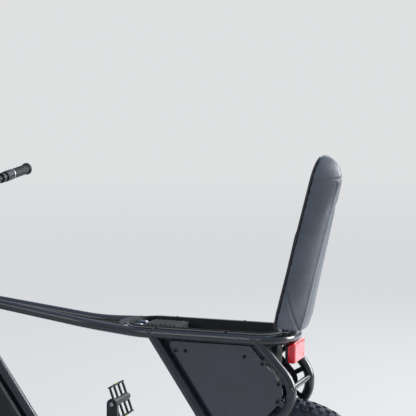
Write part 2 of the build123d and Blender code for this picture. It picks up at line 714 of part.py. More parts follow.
def make_rim():
    """Wide rim: flat bed with a shallow well and two hooked flanges."""
    flange_y = RIM_WIDTH / 2 - RIM_WALL / 2
    bed = Pos(RIM_BED_RADIUS + 1 - RIM_BED_DEPTH / 2, 0) * Rectangle(RIM_BED_DEPTH, RIM_WIDTH - RIM_WALL)
    bed -= Pos(RIM_BED_RADIUS + 1, 0) * Rectangle(8.0, RIM_WIDTH / 2)
    height = RIM_BED_DEPTH + RIM_FLANGE_HEIGHT - 1
    for side in (-1, 1):
        flange = Pos(RIM_BED_RADIUS + 1 - RIM_BED_DEPTH + height / 2, side * flange_y) * Rectangle(height, RIM_WALL)
        bed += flange
    return wheel_turned(bed)


def make_spokes(flange_radius, flange_y, count):
    """Crossed wire spokes with nipples, half from each flange, outside and inside it in turn."""
    bed = RIM_BED_RADIUS + 1 - RIM_BED_DEPTH
    rim = across(0, 0, RIM_WIDTH, bed + 30) - across(0, 0, RIM_WIDTH, bed)
    bars = []
    for index in range(count):
        side = 1 if index % 2 == 0 else -1
        lead = 1 if index % 4 < 2 else -1
        at_rim = 2 * pi * index / count
        at_hub = at_rim + lead * radians(360.0 / count * 3)
        lift = FLANGE_THICKNESS / 2 + (4.2 if lead > 0 else -7.0)
        hub_y = side * (flange_y + lift)
        start = Vector(flange_radius * cos(at_hub), hub_y, flange_radius * sin(at_hub))
        end = Vector(bed * cos(at_rim), side * SPOKE_RIM_OFFSET, bed * sin(at_rim))
        run = (end - start).normalized()
        nipple = rod(end - run * NIPPLE_LENGTH, end + run * 2, NIPPLE_RADIUS) - rim
        bars.append(rod(start, end - run * (NIPPLE_LENGTH - 2), SPOKE_RADIUS) + nipple)
    return bars


def stepped_hub(steps):
    """A turned hub from rows of (radius, from, to) along Y."""
    body = None
    for radius, start, end in steps:
        piece = across_from(0, 0, start, end, radius)
        body = piece if body is None else body + piece
    return body


def make_motor():
    """Hub motor: chamfered drum with spoke flanges, covers, disc seat, spacers and axle."""
    shell = chamfer(across(0, 0, MOTOR_HALF, MOTOR_RADIUS).edges().filter_by(GeomType.CIRCLE), 8.0)
    flange_half = FLANGE_THICKNESS / 2
    disc_seat = REAR_DISC_Y - DISC_THICKNESS / 2
    steps = [
        (MOTOR_RADIUS + MOTOR_FLANGE_HEIGHT, -MOTOR_FLANGE_Y - flange_half, -MOTOR_FLANGE_Y + flange_half),
        (MOTOR_RADIUS + MOTOR_FLANGE_HEIGHT, MOTOR_FLANGE_Y - flange_half, MOTOR_FLANGE_Y + flange_half),
        (62.0, -MOTOR_HALF - 5, MOTOR_HALF + 5),
        (34.0, -MOTOR_HALF - 14, MOTOR_HALF + 14),
        (DISC_SEAT_RADIUS, MOTOR_HALF, disc_seat),
        (SPACER_RADIUS, -REAR_HUB_HALF + MOVING_GAP, REAR_HUB_HALF - MOVING_GAP),
        (AXLE_RADIUS, -REAR_HUB_HALF - AXLE_END, REAR_HUB_HALF + AXLE_END),
    ]
    for index in range(12):
        angle = 2 * pi * index / 12
        boss = across(80.0 * cos(angle), 80.0 * sin(angle), MOTOR_HALF + 2.5, 6.0)
        shell = shell + boss
    return shell + stepped_hub(steps)


def make_front_hub():
    """Turned hub with two spoke flanges, disc seat, spacers and axle."""
    flange_half = FLANGE_THICKNESS / 2
    shell_half = FRONT_FLANGE_Y + 7.5
    steps = [
        (17.0, -shell_half, shell_half),
        (FRONT_FLANGE_RADIUS + 5, -FRONT_FLANGE_Y - flange_half, -FRONT_FLANGE_Y + flange_half),
        (FRONT_FLANGE_RADIUS + 5, FRONT_FLANGE_Y - flange_half, FRONT_FLANGE_Y + flange_half),
        (DISC_SEAT_RADIUS, shell_half, FRONT_DISC_Y - DISC_THICKNESS / 2),
        (SPACER_RADIUS, -FRONT_HUB_HALF + MOVING_GAP, FRONT_HUB_HALF - MOVING_GAP),
        (AXLE_RADIUS, -FRONT_HUB_HALF - AXLE_END, FRONT_HUB_HALF + AXLE_END),
    ]
    return stepped_hub(steps)


def make_disc(disc_y):
    """Brake disc: drilled braking ring on six swept arms."""
    ring = Circle(DISC_RADIUS) - Circle(DISC_RADIUS - DISC_TRACK)
    hole_place = DISC_RADIUS - DISC_TRACK / 2
    for index in range(24):
        shift = 3.0 if index % 2 else -3.0
        ring -= Rot(0, 0, 15 * index) * Pos(hole_place + shift, 0) * Circle(2.6)
    arm_length = DISC_RADIUS - DISC_TRACK / 2 - DISC_BORE_RADIUS
    for index in range(6):
        ring += Rot(0, 0, 60 * index + 20) * Pos(DISC_BORE_RADIUS + arm_length / 2, 5.0) * Rot(0, 0, 12) * Rectangle(arm_length, 8.0)
    ring += Circle(DISC_SEAT_RADIUS + 2)
    ring -= Circle(DISC_BORE_RADIUS)
    ring = ring & Circle(DISC_RADIUS)
    return side_plate(ring, disc_y - DISC_THICKNESS / 2, DISC_THICKNESS)


def at_axle(shape, axle_x):
    return Pos(axle_x, 0, AXLE_Z) * shape


# Drive


def pitch_radius(teeth):
    return CHAIN_PITCH / (2 * sin(pi / teeth))


def chain_band(height, width):
    """One closed band round chainring and sprocket, centred on the chain line."""
    front, rear, half = pitch_radius(CHAINRING_TEETH), pitch_radius(SPROCKET_TEETH), height / 2
    outer, inner = (
        make_hull(
            (Pos(CRANK_X, CRANK_Z) * Circle(front + reach)).edges() + (Pos(0, AXLE_Z) * Circle(rear + reach)).edges()
        )
        for reach in (half, -half)
    )
    return side_plate(outer - inner, -CHAINLINE - width / 2, width)


def make_chain():
    """Closed chain: a roller band between two deeper plate bands."""
    plates = chain_band(CHAIN_HEIGHT, CHAIN_WIDTH) - chain_band(CHAIN_HEIGHT, CHAIN_WIDTH - 2 * CHAIN_PLATE)
    return plates + chain_band(ROLLER_BAND, CHAIN_WIDTH - CHAIN_PLATE)


def toothed(teeth):
    """A toothed disc whose tips run between the chain's plates, just inside its rollers."""
    tip = pitch_radius(teeth) - ROLLER_BAND / 2 - MOVING_GAP
    root = tip - 4.0
    points = []
    # share of one pitch, radius
    for index in range(teeth):
        for share, radius in ((-0.32, root), (-0.12, tip), (0.12, tip), (0.32, root)):
            angle = 2 * pi * (index + share) / teeth
            points.append((radius * cos(angle), radius * sin(angle)))
    return make_face(Polyline(*points, close=True))


def make_chainring():
    """Toothed ring on five arms."""
    inner = pitch_radius(CHAINRING_TEETH) - 20
    ring = toothed(CHAINRING_TEETH) - Circle(inner)
    for index in range(5):
        ring += Rot(0, 0, 72 * index) * Pos(inner / 2 + 1, 0) * Rectangle(inner + 2, 16.0)
    ring += Circle(26.0)
    ring -= Circle(9.2)
    return Pos(CRANK_X, 0, CRANK_Z) * side_plate(ring, -CHAINLINE - TOOTH_THICKNESS / 2, TOOTH_THICKNESS)


def make_freewheel():
    """Sprocket on its ratchet body, screwed to the motor's cover."""
    sprocket = side_plate(toothed(SPROCKET_TEETH), -CHAINLINE - TOOTH_THICKNESS / 2, TOOTH_THICKNESS)
    body = across_from(0, 0, -CHAINLINE - 6, -MOTOR_HALF - 14, 22.0)
    return sprocket + body - across(0, 0, REAR_HUB_HALF + 20, SPACER_RADIUS)


def crank_arm(direction, side):
    """One forged arm, up or down, tapered from boss to eye, with a long recess outside."""
    eye_z = CRANK_Z + direction * CRANK_LENGTH
    boss = Pos(CRANK_X, CRANK_Z) * Circle(CRANK_BOSS_RADIUS)
    eye = Pos(CRANK_X, eye_z) * Circle(CRANK_EYE_RADIUS)
    low = CRANK_ARM_Y if side > 0 else -CRANK_ARM_Y - CRANK_ARM_THICKNESS
    arm = side_plate(make_hull(boss.edges() + eye.edges()), low, CRANK_ARM_THICKNESS)
    outer_face = arm.faces().sort_by(Axis.Y)[-1 if side > 0 else 0]
    arm = chamfer(outer_face.edges(), 2.0)
    groove = make_hull(
        (Pos(CRANK_X, CRANK_Z + direction * 40) * Circle(7.0)).edges()
        + (Pos(CRANK_X, eye_z - direction * 40) * Circle(5.5)).edges()
    )
    outer = low + CRANK_ARM_THICKNESS - 3 if side > 0 else low
    return arm - side_plate(groove, outer, 3.0)


def make_crank_arms():
    return crank_arm(1, -1) + crank_arm(-1, 1) + across(CRANK_X, CRANK_Z, CRANK_ARM_Y + 2, 8.5)


def make_pedal(direction, side):
    """Cage pedal: a rim with two long walls and a bearing barrel, six windows between."""
    centre = Vector(CRANK_X, side * (PEDAL_START + PEDAL_WIDTH / 2), CRANK_Z + direction * CRANK_LENGTH)
    plate = RectangleRounded(PEDAL_LENGTH, PEDAL_WIDTH, 14.0)
    window_length = PEDAL_LENGTH / 2 - PEDAL_FRAME - 12.0
    window_width = (PEDAL_WIDTH - 4 * PEDAL_FRAME) / 3
    # across in window steps, length
    for step, length in ((-1, window_length), (0, window_length + 7), (1, window_length)):
        for end in (-1, 1):
            along = end * (PEDAL_LENGTH / 2 - PEDAL_FRAME - length / 2)
            plate -= Pos(along, step * (window_width + PEDAL_FRAME)) * RectangleRounded(length, window_width, 3.0)
    body = extrude(plate, PEDAL_THICKNESS / 2, both=True) + across(0, 0, PEDAL_WIDTH / 2, 10.5)
    for end in (-1, 1):
        for step in (-1.5, -0.5, 0.5, 1.5):
            pin = Pos(end * (PEDAL_LENGTH / 2 - PEDAL_FRAME / 2), step * (window_width + PEDAL_FRAME), 0)
            body = body + pin * Cylinder(2.2, PEDAL_THICKNESS + 6)
    body = body - across(0, 0, PEDAL_WIDTH, SPINDLE_RADIUS + MOVING_GAP)
    return Pos(centre) * Rot(0, PEDAL_TILT, 0) * body


def make_pedal_spindles():
    arm_face = CRANK_ARM_Y + CRANK_ARM_THICKNESS
    tip = PEDAL_START + PEDAL_WIDTH - 4
    right = across_from(CRANK_X, CRANK_Z + CRANK_LENGTH, -arm_face, -tip, SPINDLE_RADIUS)
    left = across_from(CRANK_X, CRANK_Z - CRANK_LENGTH, arm_face, tip, SPINDLE_RADIUS)
    return [right, left]


# Steering parts


def steer_place(x, z):
    """Forward and up places along the steering axis of a point in the side view."""
    dx, dz = x - HEAD_X, z - HEAD_Z
    angle = radians(HEAD_ANGLE)
    return dx * sin(angle) + dz * cos(angle), -dx * cos(angle) + dz * sin(angle)


AXLE_U, AXLE_W = steer_place(WHEELBASE, AXLE_Z)
LOWER_TOP = AXLE_W + TYRE_RADIUS - 14.0


def make_fork_upper():
    """Crown, steerer and the two stanchions."""
    crown = Pos(LEG_OFFSET / 2, 0, CROWN_TOP - CROWN_HEIGHT / 2) * Box(46.0, 2 * LEG_HALF_SPACING, CROWN_HEIGHT)
    crown = fillet(crown.edges().filter_by(Axis.Z), 12.0)
    steerer_top = STEM_PLACE + 22
    body = crown + Pos(0, 0, (steerer_top + CROWN_TOP) / 2) * Cylinder(STEERER_RADIUS, steerer_top - CROWN_TOP)
    length = CROWN_TOP - LOWER_TOP + 40
    for side in (-1, 1):
        leg = Pos(LEG_OFFSET, side * LEG_HALF_SPACING, CROWN_TOP - length / 2) * Cylinder(STANCHION_RADIUS, length)
        boss = Pos(LEG_OFFSET, side * LEG_HALF_SPACING, CROWN_TOP - CROWN_HEIGHT / 2)
        body = body + leg + boss * Cylinder(LOWER_RADIUS, CROWN_HEIGHT + 4)
    return STEER * body


def leg_envelope(radius):
    """Both lower legs as plain bars, from their tops to the axle."""
    length = LOWER_TOP - AXLE_W
    legs = None
    for side in (-1, 1):
        leg = Pos(LEG_OFFSET, side * LEG_HALF_SPACING, LOWER_TOP - length / 2) * Cylinder(radius, length)
        legs = leg if legs is None else legs + leg
    return legs


def make_fork_lowers():
    """Two legs with seal collars, a bridge over the tyre and dropout lugs at the axle."""
    body = leg_envelope(LOWER_RADIUS)
    for side in (-1, 1):
        y = side * LEG_HALF_SPACING
        body = body + Pos(LEG_OFFSET, y, LOWER_TOP - 6) * Cylinder(LOWER_RADIUS + 2.5, 12.0)
        lug = make_hull(
            (Pos(AXLE_U, AXLE_W) * Circle(18.0)).edges() + (Pos(LEG_OFFSET, AXLE_W + 40) * Rectangle(34.0, 2.0)).edges()
        )
        body = body + side_plate(lug, y - 5 if side > 0 else y - 4, 9.0)
    bridge_top = AXLE_W + TYRE_RADIUS + ARCH_ROOM + ARCH_THICKNESS
    outer_half = LEG_HALF_SPACING + 8
    inner_half = LEG_HALF_SPACING - 8
    foot = LOWER_TOP - 62
    outer = Pos(0, (bridge_top + foot) / 2) * Rectangle(2 * outer_half, bridge_top - foot)
    outer = fillet(outer.vertices().group_by(Axis.Y)[-1], 34.0)
    inner = Pos(0, (bridge_top + foot) / 2 - ARCH_THICKNESS) * Rectangle(2 * inner_half, bridge_top - foot)
    inner = fillet(inner.vertices().group_by(Axis.Y)[-1], 24.0)
    bridge = Plane(origin=(LEG_OFFSET + STANCHION_RADIUS + 1, 0, 0), x_dir=(0, 1, 0), z_dir=(1, 0, 0)) * extrude(
        outer - inner, ARCH_DEPTH - 8
    )
    body = body + bridge
    for side in (-1, 1):
        bore = Pos(LEG_OFFSET, side * LEG_HALF_SPACING, LOWER_TOP - 17) * Cylinder(STANCHION_RADIUS, 46.0)
        body = body - bore
    axle_hole = Pos(AXLE_U, 0, AXLE_W) * Rot(90, 0, 0) * Cylinder(AXLE_RADIUS + MOVING_GAP, 3 * LEG_HALF_SPACING)
    return STEER * (body - axle_hole)


def caliper_block(inner_y, outer_y):
    """Brake caliper body centred on its own origin, before the disc's slot is cut."""
    return fillet((Pos(0, (inner_y + outer_y) / 2, 0) * Box(34.0, outer_y - inner_y, 58.0)).edges(), 5.0)


def make_front_caliper():
    """Caliper behind the left fork leg, seated against the leg."""
    disc_y = FRONT_DISC_Y
    body = caliper_block(disc_y - 15, LEG_HALF_SPACING - 2)
    place = Pos(LEG_OFFSET - 46, 0, AXLE_W + 46)
    axle = Pos(AXLE_U, disc_y, AXLE_W) * Rot(90, 0, 0)
    reach = axle * Cylinder(DISC_RADIUS + CALIPER_GAP, DISC_THICKNESS + 2 * CALIPER_GAP)
    lug = Pos(LEG_OFFSET - 26, LEG_HALF_SPACING - 6, AXLE_W + 46) * Box(30.0, 16.0, 44.0)
    return STEER * largest(place * body - reach + lug - leg_envelope(LOWER_RADIUS))


def make_rear_caliper():
    """Caliper above the left chainstay, seated on the dropout's lug."""
    body = caliper_block(REAR_DISC_Y - 15, REAR_HUB_HALF)
    place = Pos(CALIPER_LUG[0], 0, AXLE_Z + CALIPER_LUG[1]) * Rot(0, CALIPER_TURN, 0)
    gap = DISC_THICKNESS / 2 + CALIPER_GAP
    reach = across_from(0, AXLE_Z, REAR_DISC_Y - gap, REAR_DISC_Y + gap, DISC_RADIUS + CALIPER_GAP)
    return largest(place * body - reach)


def make_stem():
    """Stem: steerer clamp, arm and handlebar clamp with its split face."""
    clamp = Pos(0, 0, STEM_PLACE) * Cylinder(20.0, 40.0)
    arm = Pos(STEM_REACH / 2, 0, STEM_PLACE) * Box(STEM_REACH, 32.0, 30.0)
    arm = fillet(arm.edges().filter_by(Axis.X), 8.0)
    bar_clamp = Pos(STEM_REACH, 0, STEM_PLACE) * Rot(90, 0, 0) * Cylinder(19.0, 2 * STEM_CLAMP_HALF)
    body = clamp + arm + bar_clamp
    body -= Pos(0, 0, STEM_PLACE) * Cylinder(STEERER_RADIUS, 60.0)
    body -= Pos(STEM_REACH, 0, STEM_PLACE) * Rot(90, 0, 0) * Cylinder(BAR_RADIUS, 60.0)
    return STEER * body


def bar_centre():
    place = STEER.from_local_coords(Vector(STEM_REACH, 0, STEM_PLACE))
    return place.X, place.Z


BAR_FLAT_HALF = 54.0
BAR_KNEE_INBOARD = 212.0
GRIP_HALF_WIDTH = 340.0
GRIP_SWEEP = 7.0
GRIP_RISE = 7.5
GRIP_LENGTH = 128.0
GRIP_RADIUS = 15.5
GRIP_FLANGE = 19.0
LOCK_RING = 87.0


def grip_point(inboard):
    """A place on the left grip's centre line, so far inboard of its outer end."""
    bar_x, bar_z = bar_centre()
    x = bar_x - BAR_SWEEP_BACK + inboard * tan(radians(GRIP_SWEEP))
    z = bar_z + BAR_LIFT - inboard * tan(radians(GRIP_RISE))
    return (x, GRIP_HALF_WIDTH - inboard, z)


BAR_SWEEP_BACK = 41.4
BAR_LIFT = 279.0


def make_handlebar():
    """Riser bar: straight clamp stretch, rising bends and swept ends."""
    centre_x, centre_z = bar_centre()
    points = [(centre_x, 0, centre_z), (centre_x, BAR_FLAT_HALF, centre_z), grip_point(BAR_KNEE_INBOARD), grip_point(2.0)]
    half = bent_tube(points, [45.0, 60.0], BAR_RADIUS)
    return half + mirrored(half)


def make_grip():
    """Grip sleeve with end flange, lock ring and a collar inboard of it."""
    body = rod(grip_point(LOCK_RING), grip_point(0), GRIP_RADIUS)
    # radius, outer end, inner end
    for radius, outer, inner in (
        (GRIP_FLANGE, 0.0, 6.0),
        (GRIP_FLANGE - 1.5, 6.0, 10.0),
        (GRIP_RADIUS + 1.2, LOCK_RING, LOCK_RING + 5),
        (GRIP_RADIUS - 0.5, LOCK_RING + 5, LOCK_RING + 9),
        (GRIP_RADIUS + 1.5, LOCK_RING + 9, GRIP_LENGTH),
    ):
        body = body + rod(grip_point(inner), grip_point(outer), radius)
    return body - rod(grip_point(GRIP_LENGTH + 1), grip_point(2.0), BAR_RADIUS)


def make_brake_lever():
    """Lever: bar clamp, perch and a blade with a ball end, ahead of the grip."""
    clamp = rod(grip_point(GRIP_LENGTH + 22), grip_point(GRIP_LENGTH + 8), 16.0)
    centre = Vector(*grip_point(GRIP_LENGTH + 15))
    perch = rod(centre, centre + Vector(36, -6, -4), 8.0)
    pivot = Pos(centre + Vector(36, -6, -4)) * Cylinder(11.0, 14.0)
    blade_points = [
        tuple(centre + Vector(36, -8, -4)),
        tuple(centre + Vector(50, 30, -2)),
        tuple(centre + Vector(38, 116, 3)),
    ]
    blade = bent_tube(blade_points, [60.0], 4.5) + Pos(Vector(*blade_points[-1])) * Sphere(7.0)
    body = clamp + perch + pivot + blade
    return body - rod(grip_point(GRIP_LENGTH + 30), grip_point(GRIP_LENGTH), BAR_RADIUS)


LAMP_U = 52.0
LAMP_W = -62.0


def make_headlight():
    """Round lamp with bezel on a bracket from the fork crown."""
    # forward from the lamp's back, radius
    outline = [(0, 0), (0, 20), (10, 32), (26, 42), (48, 44), (52, 44), (52, 39), (46, 36), (43, 0)]
    profile = make_face(Polyline(*outline, close=True))
    lamp = revolve(profile, Axis.X)
    lamp = Pos(LAMP_U, 0, LAMP_W) * lamp
    bracket = Pos(46.0, 0, CROWN_TOP - 8) * Box(34.0, 26.0, 5.0)
    arm = Pos(LAMP_U + 9, 0, (LAMP_W + CROWN_TOP) / 2 - 18) * Box(6.0, 26.0, 30.0)
    return STEER * (lamp + bracket + arm)


def make_display(handlebar):
    """Flat display on two arms clamped beside the stem."""
    case = Pos(STEM_REACH - 4, 0, STEM_PLACE + 36) * Rot(0, 8, 0) * Box(46.0, 66.0, 12.0)
    case = fillet(case.edges(), 3.5)
    arms = None
    for side in (-1, 1):
        y_low = side * (STEM_CLAMP_HALF + 5) - 3
        outline = make_hull(
            (Pos(STEM_REACH, STEM_PLACE) * Circle(BAR_RADIUS + 4)).edges()
            + (Pos(STEM_REACH - 4, STEM_PLACE + 33) * Circle(5.0)).edges()
        )
        arm = side_plate(outline, y_low, 6.0)
        arms = arm if arms is None else arms + arm
    return STEER * (case + arms) - handlebar


# Controller case


def make_controller_case():
    """Finned case that takes the down tube in a groove along its top."""
    run = DOWN_TUBE_TOP - DOWN_TUBE_KNEE
    place = Plane(origin=DOWN_TUBE_KNEE, x_dir=run, z_dir=(-run.Z, 0, run.X))
    below = -DOWN_TUBE_RADIUS + CASE_SEAT - CASE_DEPTH / 2
    case = Pos(CASE_ALONG, 0, below) * Box(CASE_LENGTH, CASE_WIDTH, CASE_DEPTH)
    case = fillet(case.edges().filter_by(Axis.X), 12.0)
    case = fillet(case.edges().group_by(Axis.X)[0] + case.edges().group_by(Axis.X)[-1], 5.0)
    bottom = below - CASE_DEPTH / 2
    fin_rows = int((CASE_LENGTH - 50) / FIN_PITCH)
    for index in range(fin_rows):
        along = CASE_ALONG + (index - (fin_rows - 1) / 2) * FIN_PITCH
        case = case - Pos(along, 0, bottom + FIN_DEPTH / 2) * Box(FIN_PITCH / 2, CASE_WIDTH + 2, FIN_DEPTH)
    groove = rod(tuple(DOWN_TUBE_KNEE), tuple(DOWN_TUBE_TOP), DOWN_TUBE_RADIUS)
    return largest(place * case - groove)


# Centre stand


def make_centre_stand():
    """Two splayed legs on sleeves that turn on the bracket's pin, joined by a cross tube."""
    body = None
    brace_share = 0.45
    pad_height = 10.0
    foot_x = STAND_X + FOOT_FORWARD
    knee_y = STAND_SLEEVE_END - STAND_LEG_RADIUS
    foot_z = pad_height - 1
    for side in (-1, 1):
        sleeve_start = side * (STAND_HEAD_HALF + 1.0)
        sleeve = across_from(STAND_X, STAND_PIVOT_Z, sleeve_start, side * STAND_SLEEVE_END, STAND_SLEEVE_RADIUS)
        leg = rod(
            (STAND_X, side * knee_y, STAND_PIVOT_Z), (foot_x, side * FOOT_HALF_SPREAD, foot_z), STAND_LEG_RADIUS
        )
        pad = Pos(foot_x, side * (FOOT_HALF_SPREAD + 2), pad_height / 2) * Box(36.0, 30.0, pad_height)
        pad = fillet(pad.edges().filter_by(Axis.Z), 6.0)
        half = sleeve + leg + pad
        body = half if body is None else body + half
    brace_x = STAND_X + brace_share * FOOT_FORWARD
    brace_z = STAND_PIVOT_Z + brace_share * (foot_z - STAND_PIVOT_Z)
    brace_half = knee_y + brace_share * (FOOT_HALF_SPREAD - knee_y)
    body = body + across(brace_x, brace_z, brace_half, STAND_LEG_RADIUS - 2)
    return body - across(STAND_X, STAND_PIVOT_Z, STAND_SLEEVE_END + 2, STAND_PIN_RADIUS + MOVING_GAP)


main_left = make_main_tube()
main_tubes = main_left + mirrored(main_left)
chainstay_left = make_dropout(make_chainstay())
chainstays = [chainstay_left, mirrored(chainstay_left)]
stay_left = make_seat_stay(main_left, chainstay_left)
hoop_left = make_hoop_side(main_left, stay_left)
CROSSBAR_X, CROSSBAR_Z = crossbar_place()
hoop = hoop_left + mirrored(hoop_left) + across(CROSSBAR_X, CROSSBAR_Z, RAIL_HALF_SPACING, CROSSBAR_RADIUS)
down_tube = make_down_tube()
handlebar = make_handlebar()
tray = make_battery_tray(main_tubes)
panel_left = largest(make_side_panel() - tray)
rear_spoke_set = make_spokes(MOTOR_RADIUS + MOTOR_FLANGE_HEIGHT - 5, MOTOR_FLANGE_Y, SPOKE_COUNT)
front_spoke_set = make_spokes(FRONT_FLANGE_RADIUS, FRONT_FLANGE_Y, SPOKE_COUNT)

nodes = {
    "main_tubes": main_tubes,
    "head_tube": make_head_tube(),
    "down_tube": down_tube,
    "bottom_bracket": make_bottom_bracket(),
    "seat_stays": [stay_left, mirrored(stay_left)],
    "rear_hoop": hoop,
    "chainstays": chainstays,
    "stand_bracket": make_stand_bracket(chainstays[0] + chainstays[1]),
    "battery_tray": tray,
    "gusset_plate": make_gusset_plate(main_tubes + tray),
    "battery": make_battery(),
    "battery_plugs": make_battery_plugs(),
    "side_panels": [panel_left, mirrored(panel_left)],
    "tail_light": make_tail_light(),
    "tail_light_case": make_tail_light_case(main_tubes),
    "seat_hinge": make_seat_hinge(),
    "chain": make_chain(),
    "controller_case": make_controller_case(),
    "rear_caliper": make_rear_caliper(),
    "seat_cushion": make_seat_cushion(),
    "seat_pan": make_seat_pan(),
    "fork_upper": make_fork_upper(),
    "fork_lowers": make_fork_lowers(),
    "front_caliper": make_front_caliper(),
    "stem": make_stem(),
    "handlebar": handlebar,
    "grips": [make_grip(), mirrored(make_grip())],
    "brake_levers": [make_brake_lever(), mirrored(make_brake_lever())],
    "headlight": make_headlight(),
    "display": make_display(handlebar),
    "front_tyre": at_axle(make_tyre(), WHEELBASE),
    "front_rim": at_axle(make_rim(), WHEELBASE),
    "front_spokes": [at_axle(bar, WHEELBASE) for bar in front_spoke_set],
    "front_hub": at_axle(make_front_hub(), WHEELBASE),
    "front_disc": at_axle(make_disc(FRONT_DISC_Y), WHEELBASE),
    "rear_tyre": at_axle(make_tyre(), 0),
    "rear_rim": at_axle(make_rim(), 0),
    "rear_spokes": [at_axle(bar, 0) for bar in rear_spoke_set],
    "hub_motor": at_axle(make_motor(), 0),
    "rear_disc": at_axle(make_disc(REAR_DISC_Y), 0),
    "freewheel": at_axle(make_freewheel(), 0),
    "crank_arms": make_crank_arms(),
    "chainring": make_chainring(),
    "pedal_spindles": make_pedal_spindles(),
    "pedal_right": make_pedal(1, -1),
    "pedal_left": make_pedal(-1, 1),
    "centre_stand": make_centre_stand(),
}

os.makedirs("parts", exist_ok=True)
to_origin = Pos(-WHEELBASE / 2, 0, 0)
for name, shape in nodes.items():
    pieces = shape if isinstance(shape, list) else [shape]
    solids = [to_origin * solid for piece in pieces for solid in piece.solids()]
    whole = solids[0] if len(solids) == 1 else Compound(children=solids)
    export_step(whole, f"parts/{name}.step")
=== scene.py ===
# The looks of the electric bicycle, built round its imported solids, in metres.
import math

import bmesh
import bpy
from mathutils import Matrix, Vector
from mathutils.bvhtree import BVHTree


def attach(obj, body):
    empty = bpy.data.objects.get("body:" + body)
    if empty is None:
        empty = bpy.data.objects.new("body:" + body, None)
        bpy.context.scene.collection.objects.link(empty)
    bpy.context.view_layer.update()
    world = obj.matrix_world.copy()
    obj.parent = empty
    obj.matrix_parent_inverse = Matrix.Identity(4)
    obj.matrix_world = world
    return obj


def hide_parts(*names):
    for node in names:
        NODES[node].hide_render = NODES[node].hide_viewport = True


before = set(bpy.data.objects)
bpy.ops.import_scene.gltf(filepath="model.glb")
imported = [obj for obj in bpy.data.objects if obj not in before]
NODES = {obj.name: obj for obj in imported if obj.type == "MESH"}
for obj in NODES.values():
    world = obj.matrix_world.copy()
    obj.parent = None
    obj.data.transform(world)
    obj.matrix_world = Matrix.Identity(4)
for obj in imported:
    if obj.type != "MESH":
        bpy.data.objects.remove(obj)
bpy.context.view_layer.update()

# The room: a pale studio floor that pales into the backdrop with distance, a soft key lamp and a weaker
# one behind the bicycle, a wide fill lamp and a brighter sky overhead, for black paint to reflect.
# The camera stands four metres off the left side, a little behind the middle of the bicycle.
CAMERA_PLACE = Vector((-1.780, 4.014, 1.576))
CAMERA_YAW = math.radians(19.3)
CAMERA_PITCH = math.radians(6.051)
PHOTO_WIDTH_PX = 416
FOCAL_LENGTH_PX = 1500.0
FLOOR_RADIUS = 900.0
FLOOR_COLOUR = "#d9d9d6"
# the floor takes the backdrop's colour: its share up close, and where that starts and stops rising
FLOOR_NEAR_SHARE = 0.72
FLOOR_NEAR_M, FLOOR_FAR_M = 1.5, 14.0
ROOM_COLOUR = "#dfe0e1"
SKY_COLOUR = "#bccdea"
HORIZON_LIGHT, OVERHEAD_LIGHT = 0.5, 0.95


def linear(hex_colour):
    """The linear colour of an sRGB hex value, with full alpha."""
    shares = [int(hex_colour[start : start + 2], 16) / 255 for start in (1, 3, 5)]
    curved = [share / 12.92 if share <= 0.04045 else ((share + 0.055) / 1.055) ** 2.4 for share in shares]
    return (*curved, 1.0)


def set_sockets(node, sockets):
    """Gives a node's inputs values, or links them to the outputs that feed them."""
    for socket, value in sockets.items():
        if isinstance(value, bpy.types.NodeSocket):
            node.id_data.links.new(value, node.inputs[socket])
        else:
            node.inputs[socket].default_value = value


def add(tree, kind, sockets=None, **settings):
    """Adds a node: settings are its options, sockets what its inputs get."""
    node = tree.nodes.new(kind)
    for option, value in settings.items():
        setattr(node, option, value)
    set_sockets(node, sockets or {})
    return node


def mapped(tree, value, low, high, start, end):
    """A value whose range from low to high is stretched to run from start to end."""
    return add(tree, "ShaderNodeMapRange", {0: value, 1: low, 2: high, 3: start, 4: end}).outputs[0]


def mixed(tree, share, one, other):
    """Two sRGB hex colours mixed by a share."""
    colours = {0: share, 6: linear(one), 7: linear(other)}
    return add(tree, "ShaderNodeMix", colours, data_type="RGBA").outputs[2]


def new_finish(name, roughness, metallic=0.0):
    """An empty material with its shader, which the piece's own section fills in."""
    material = bpy.data.materials.new(name)
    material.use_nodes = True
    shader = material.node_tree.nodes["Principled BSDF"]
    set_sockets(shader, {"Roughness": roughness, "Metallic": metallic})
    return material, shader


def in_scene(name, data):
    """Puts a mesh, lamp or camera into the scene."""
    piece = bpy.data.objects.new(name, data)
    bpy.context.scene.collection.objects.link(piece)
    return piece


camera_data = bpy.data.cameras.new("camera")
camera_data.sensor_width = 36.0
camera_data.lens = 36.0 * FOCAL_LENGTH_PX / PHOTO_WIDTH_PX
camera_data.clip_end = 2000.0
camera = in_scene("camera", camera_data)
camera.location = CAMERA_PLACE
level = math.cos(CAMERA_PITCH)
look = Vector((math.sin(CAMERA_YAW) * level, -math.cos(CAMERA_YAW) * level, -math.sin(CAMERA_PITCH)))
camera.rotation_mode = "QUATERNION"
camera.rotation_quaternion = look.to_track_quat("-Z", "Y")
bpy.context.scene.camera = camera
bpy.context.scene.view_settings.view_transform = "Standard"

floor_shape = bmesh.new()
bmesh.ops.create_circle(floor_shape, cap_ends=True, radius=FLOOR_RADIUS, segments=96)
floor_mesh = bpy.data.meshes.new("floor")
floor_shape.to_mesh(floor_mesh)
floor_shape.free()
floor = in_scene("floor", floor_mesh)
floor_paint, shader = new_finish("pale_studio_floor", 0.85)
tree = floor_paint.node_tree
set_sockets(shader, {"Base Color": linear(FLOOR_COLOUR), "Specular IOR Level": 0.2})
sight = add(tree, "ShaderNodeLightPath").outputs
here = add(tree, "ShaderNodeTexCoord").outputs["Object"]
away = add(tree, "ShaderNodeVectorMath", {0: here}, operation="LENGTH").outputs["Value"]
share = mapped(tree, away, FLOOR_NEAR_M, FLOOR_FAR_M, FLOOR_NEAR_SHARE, 1.0)
evened = add(tree, "ShaderNodeMath", {0: sight["Is Camera Ray"], 1: share}, operation="MULTIPLY")
backdrop = add(tree, "ShaderNodeEmission", {"Color": linear(ROOM_COLOUR), "Strength": 1.0})
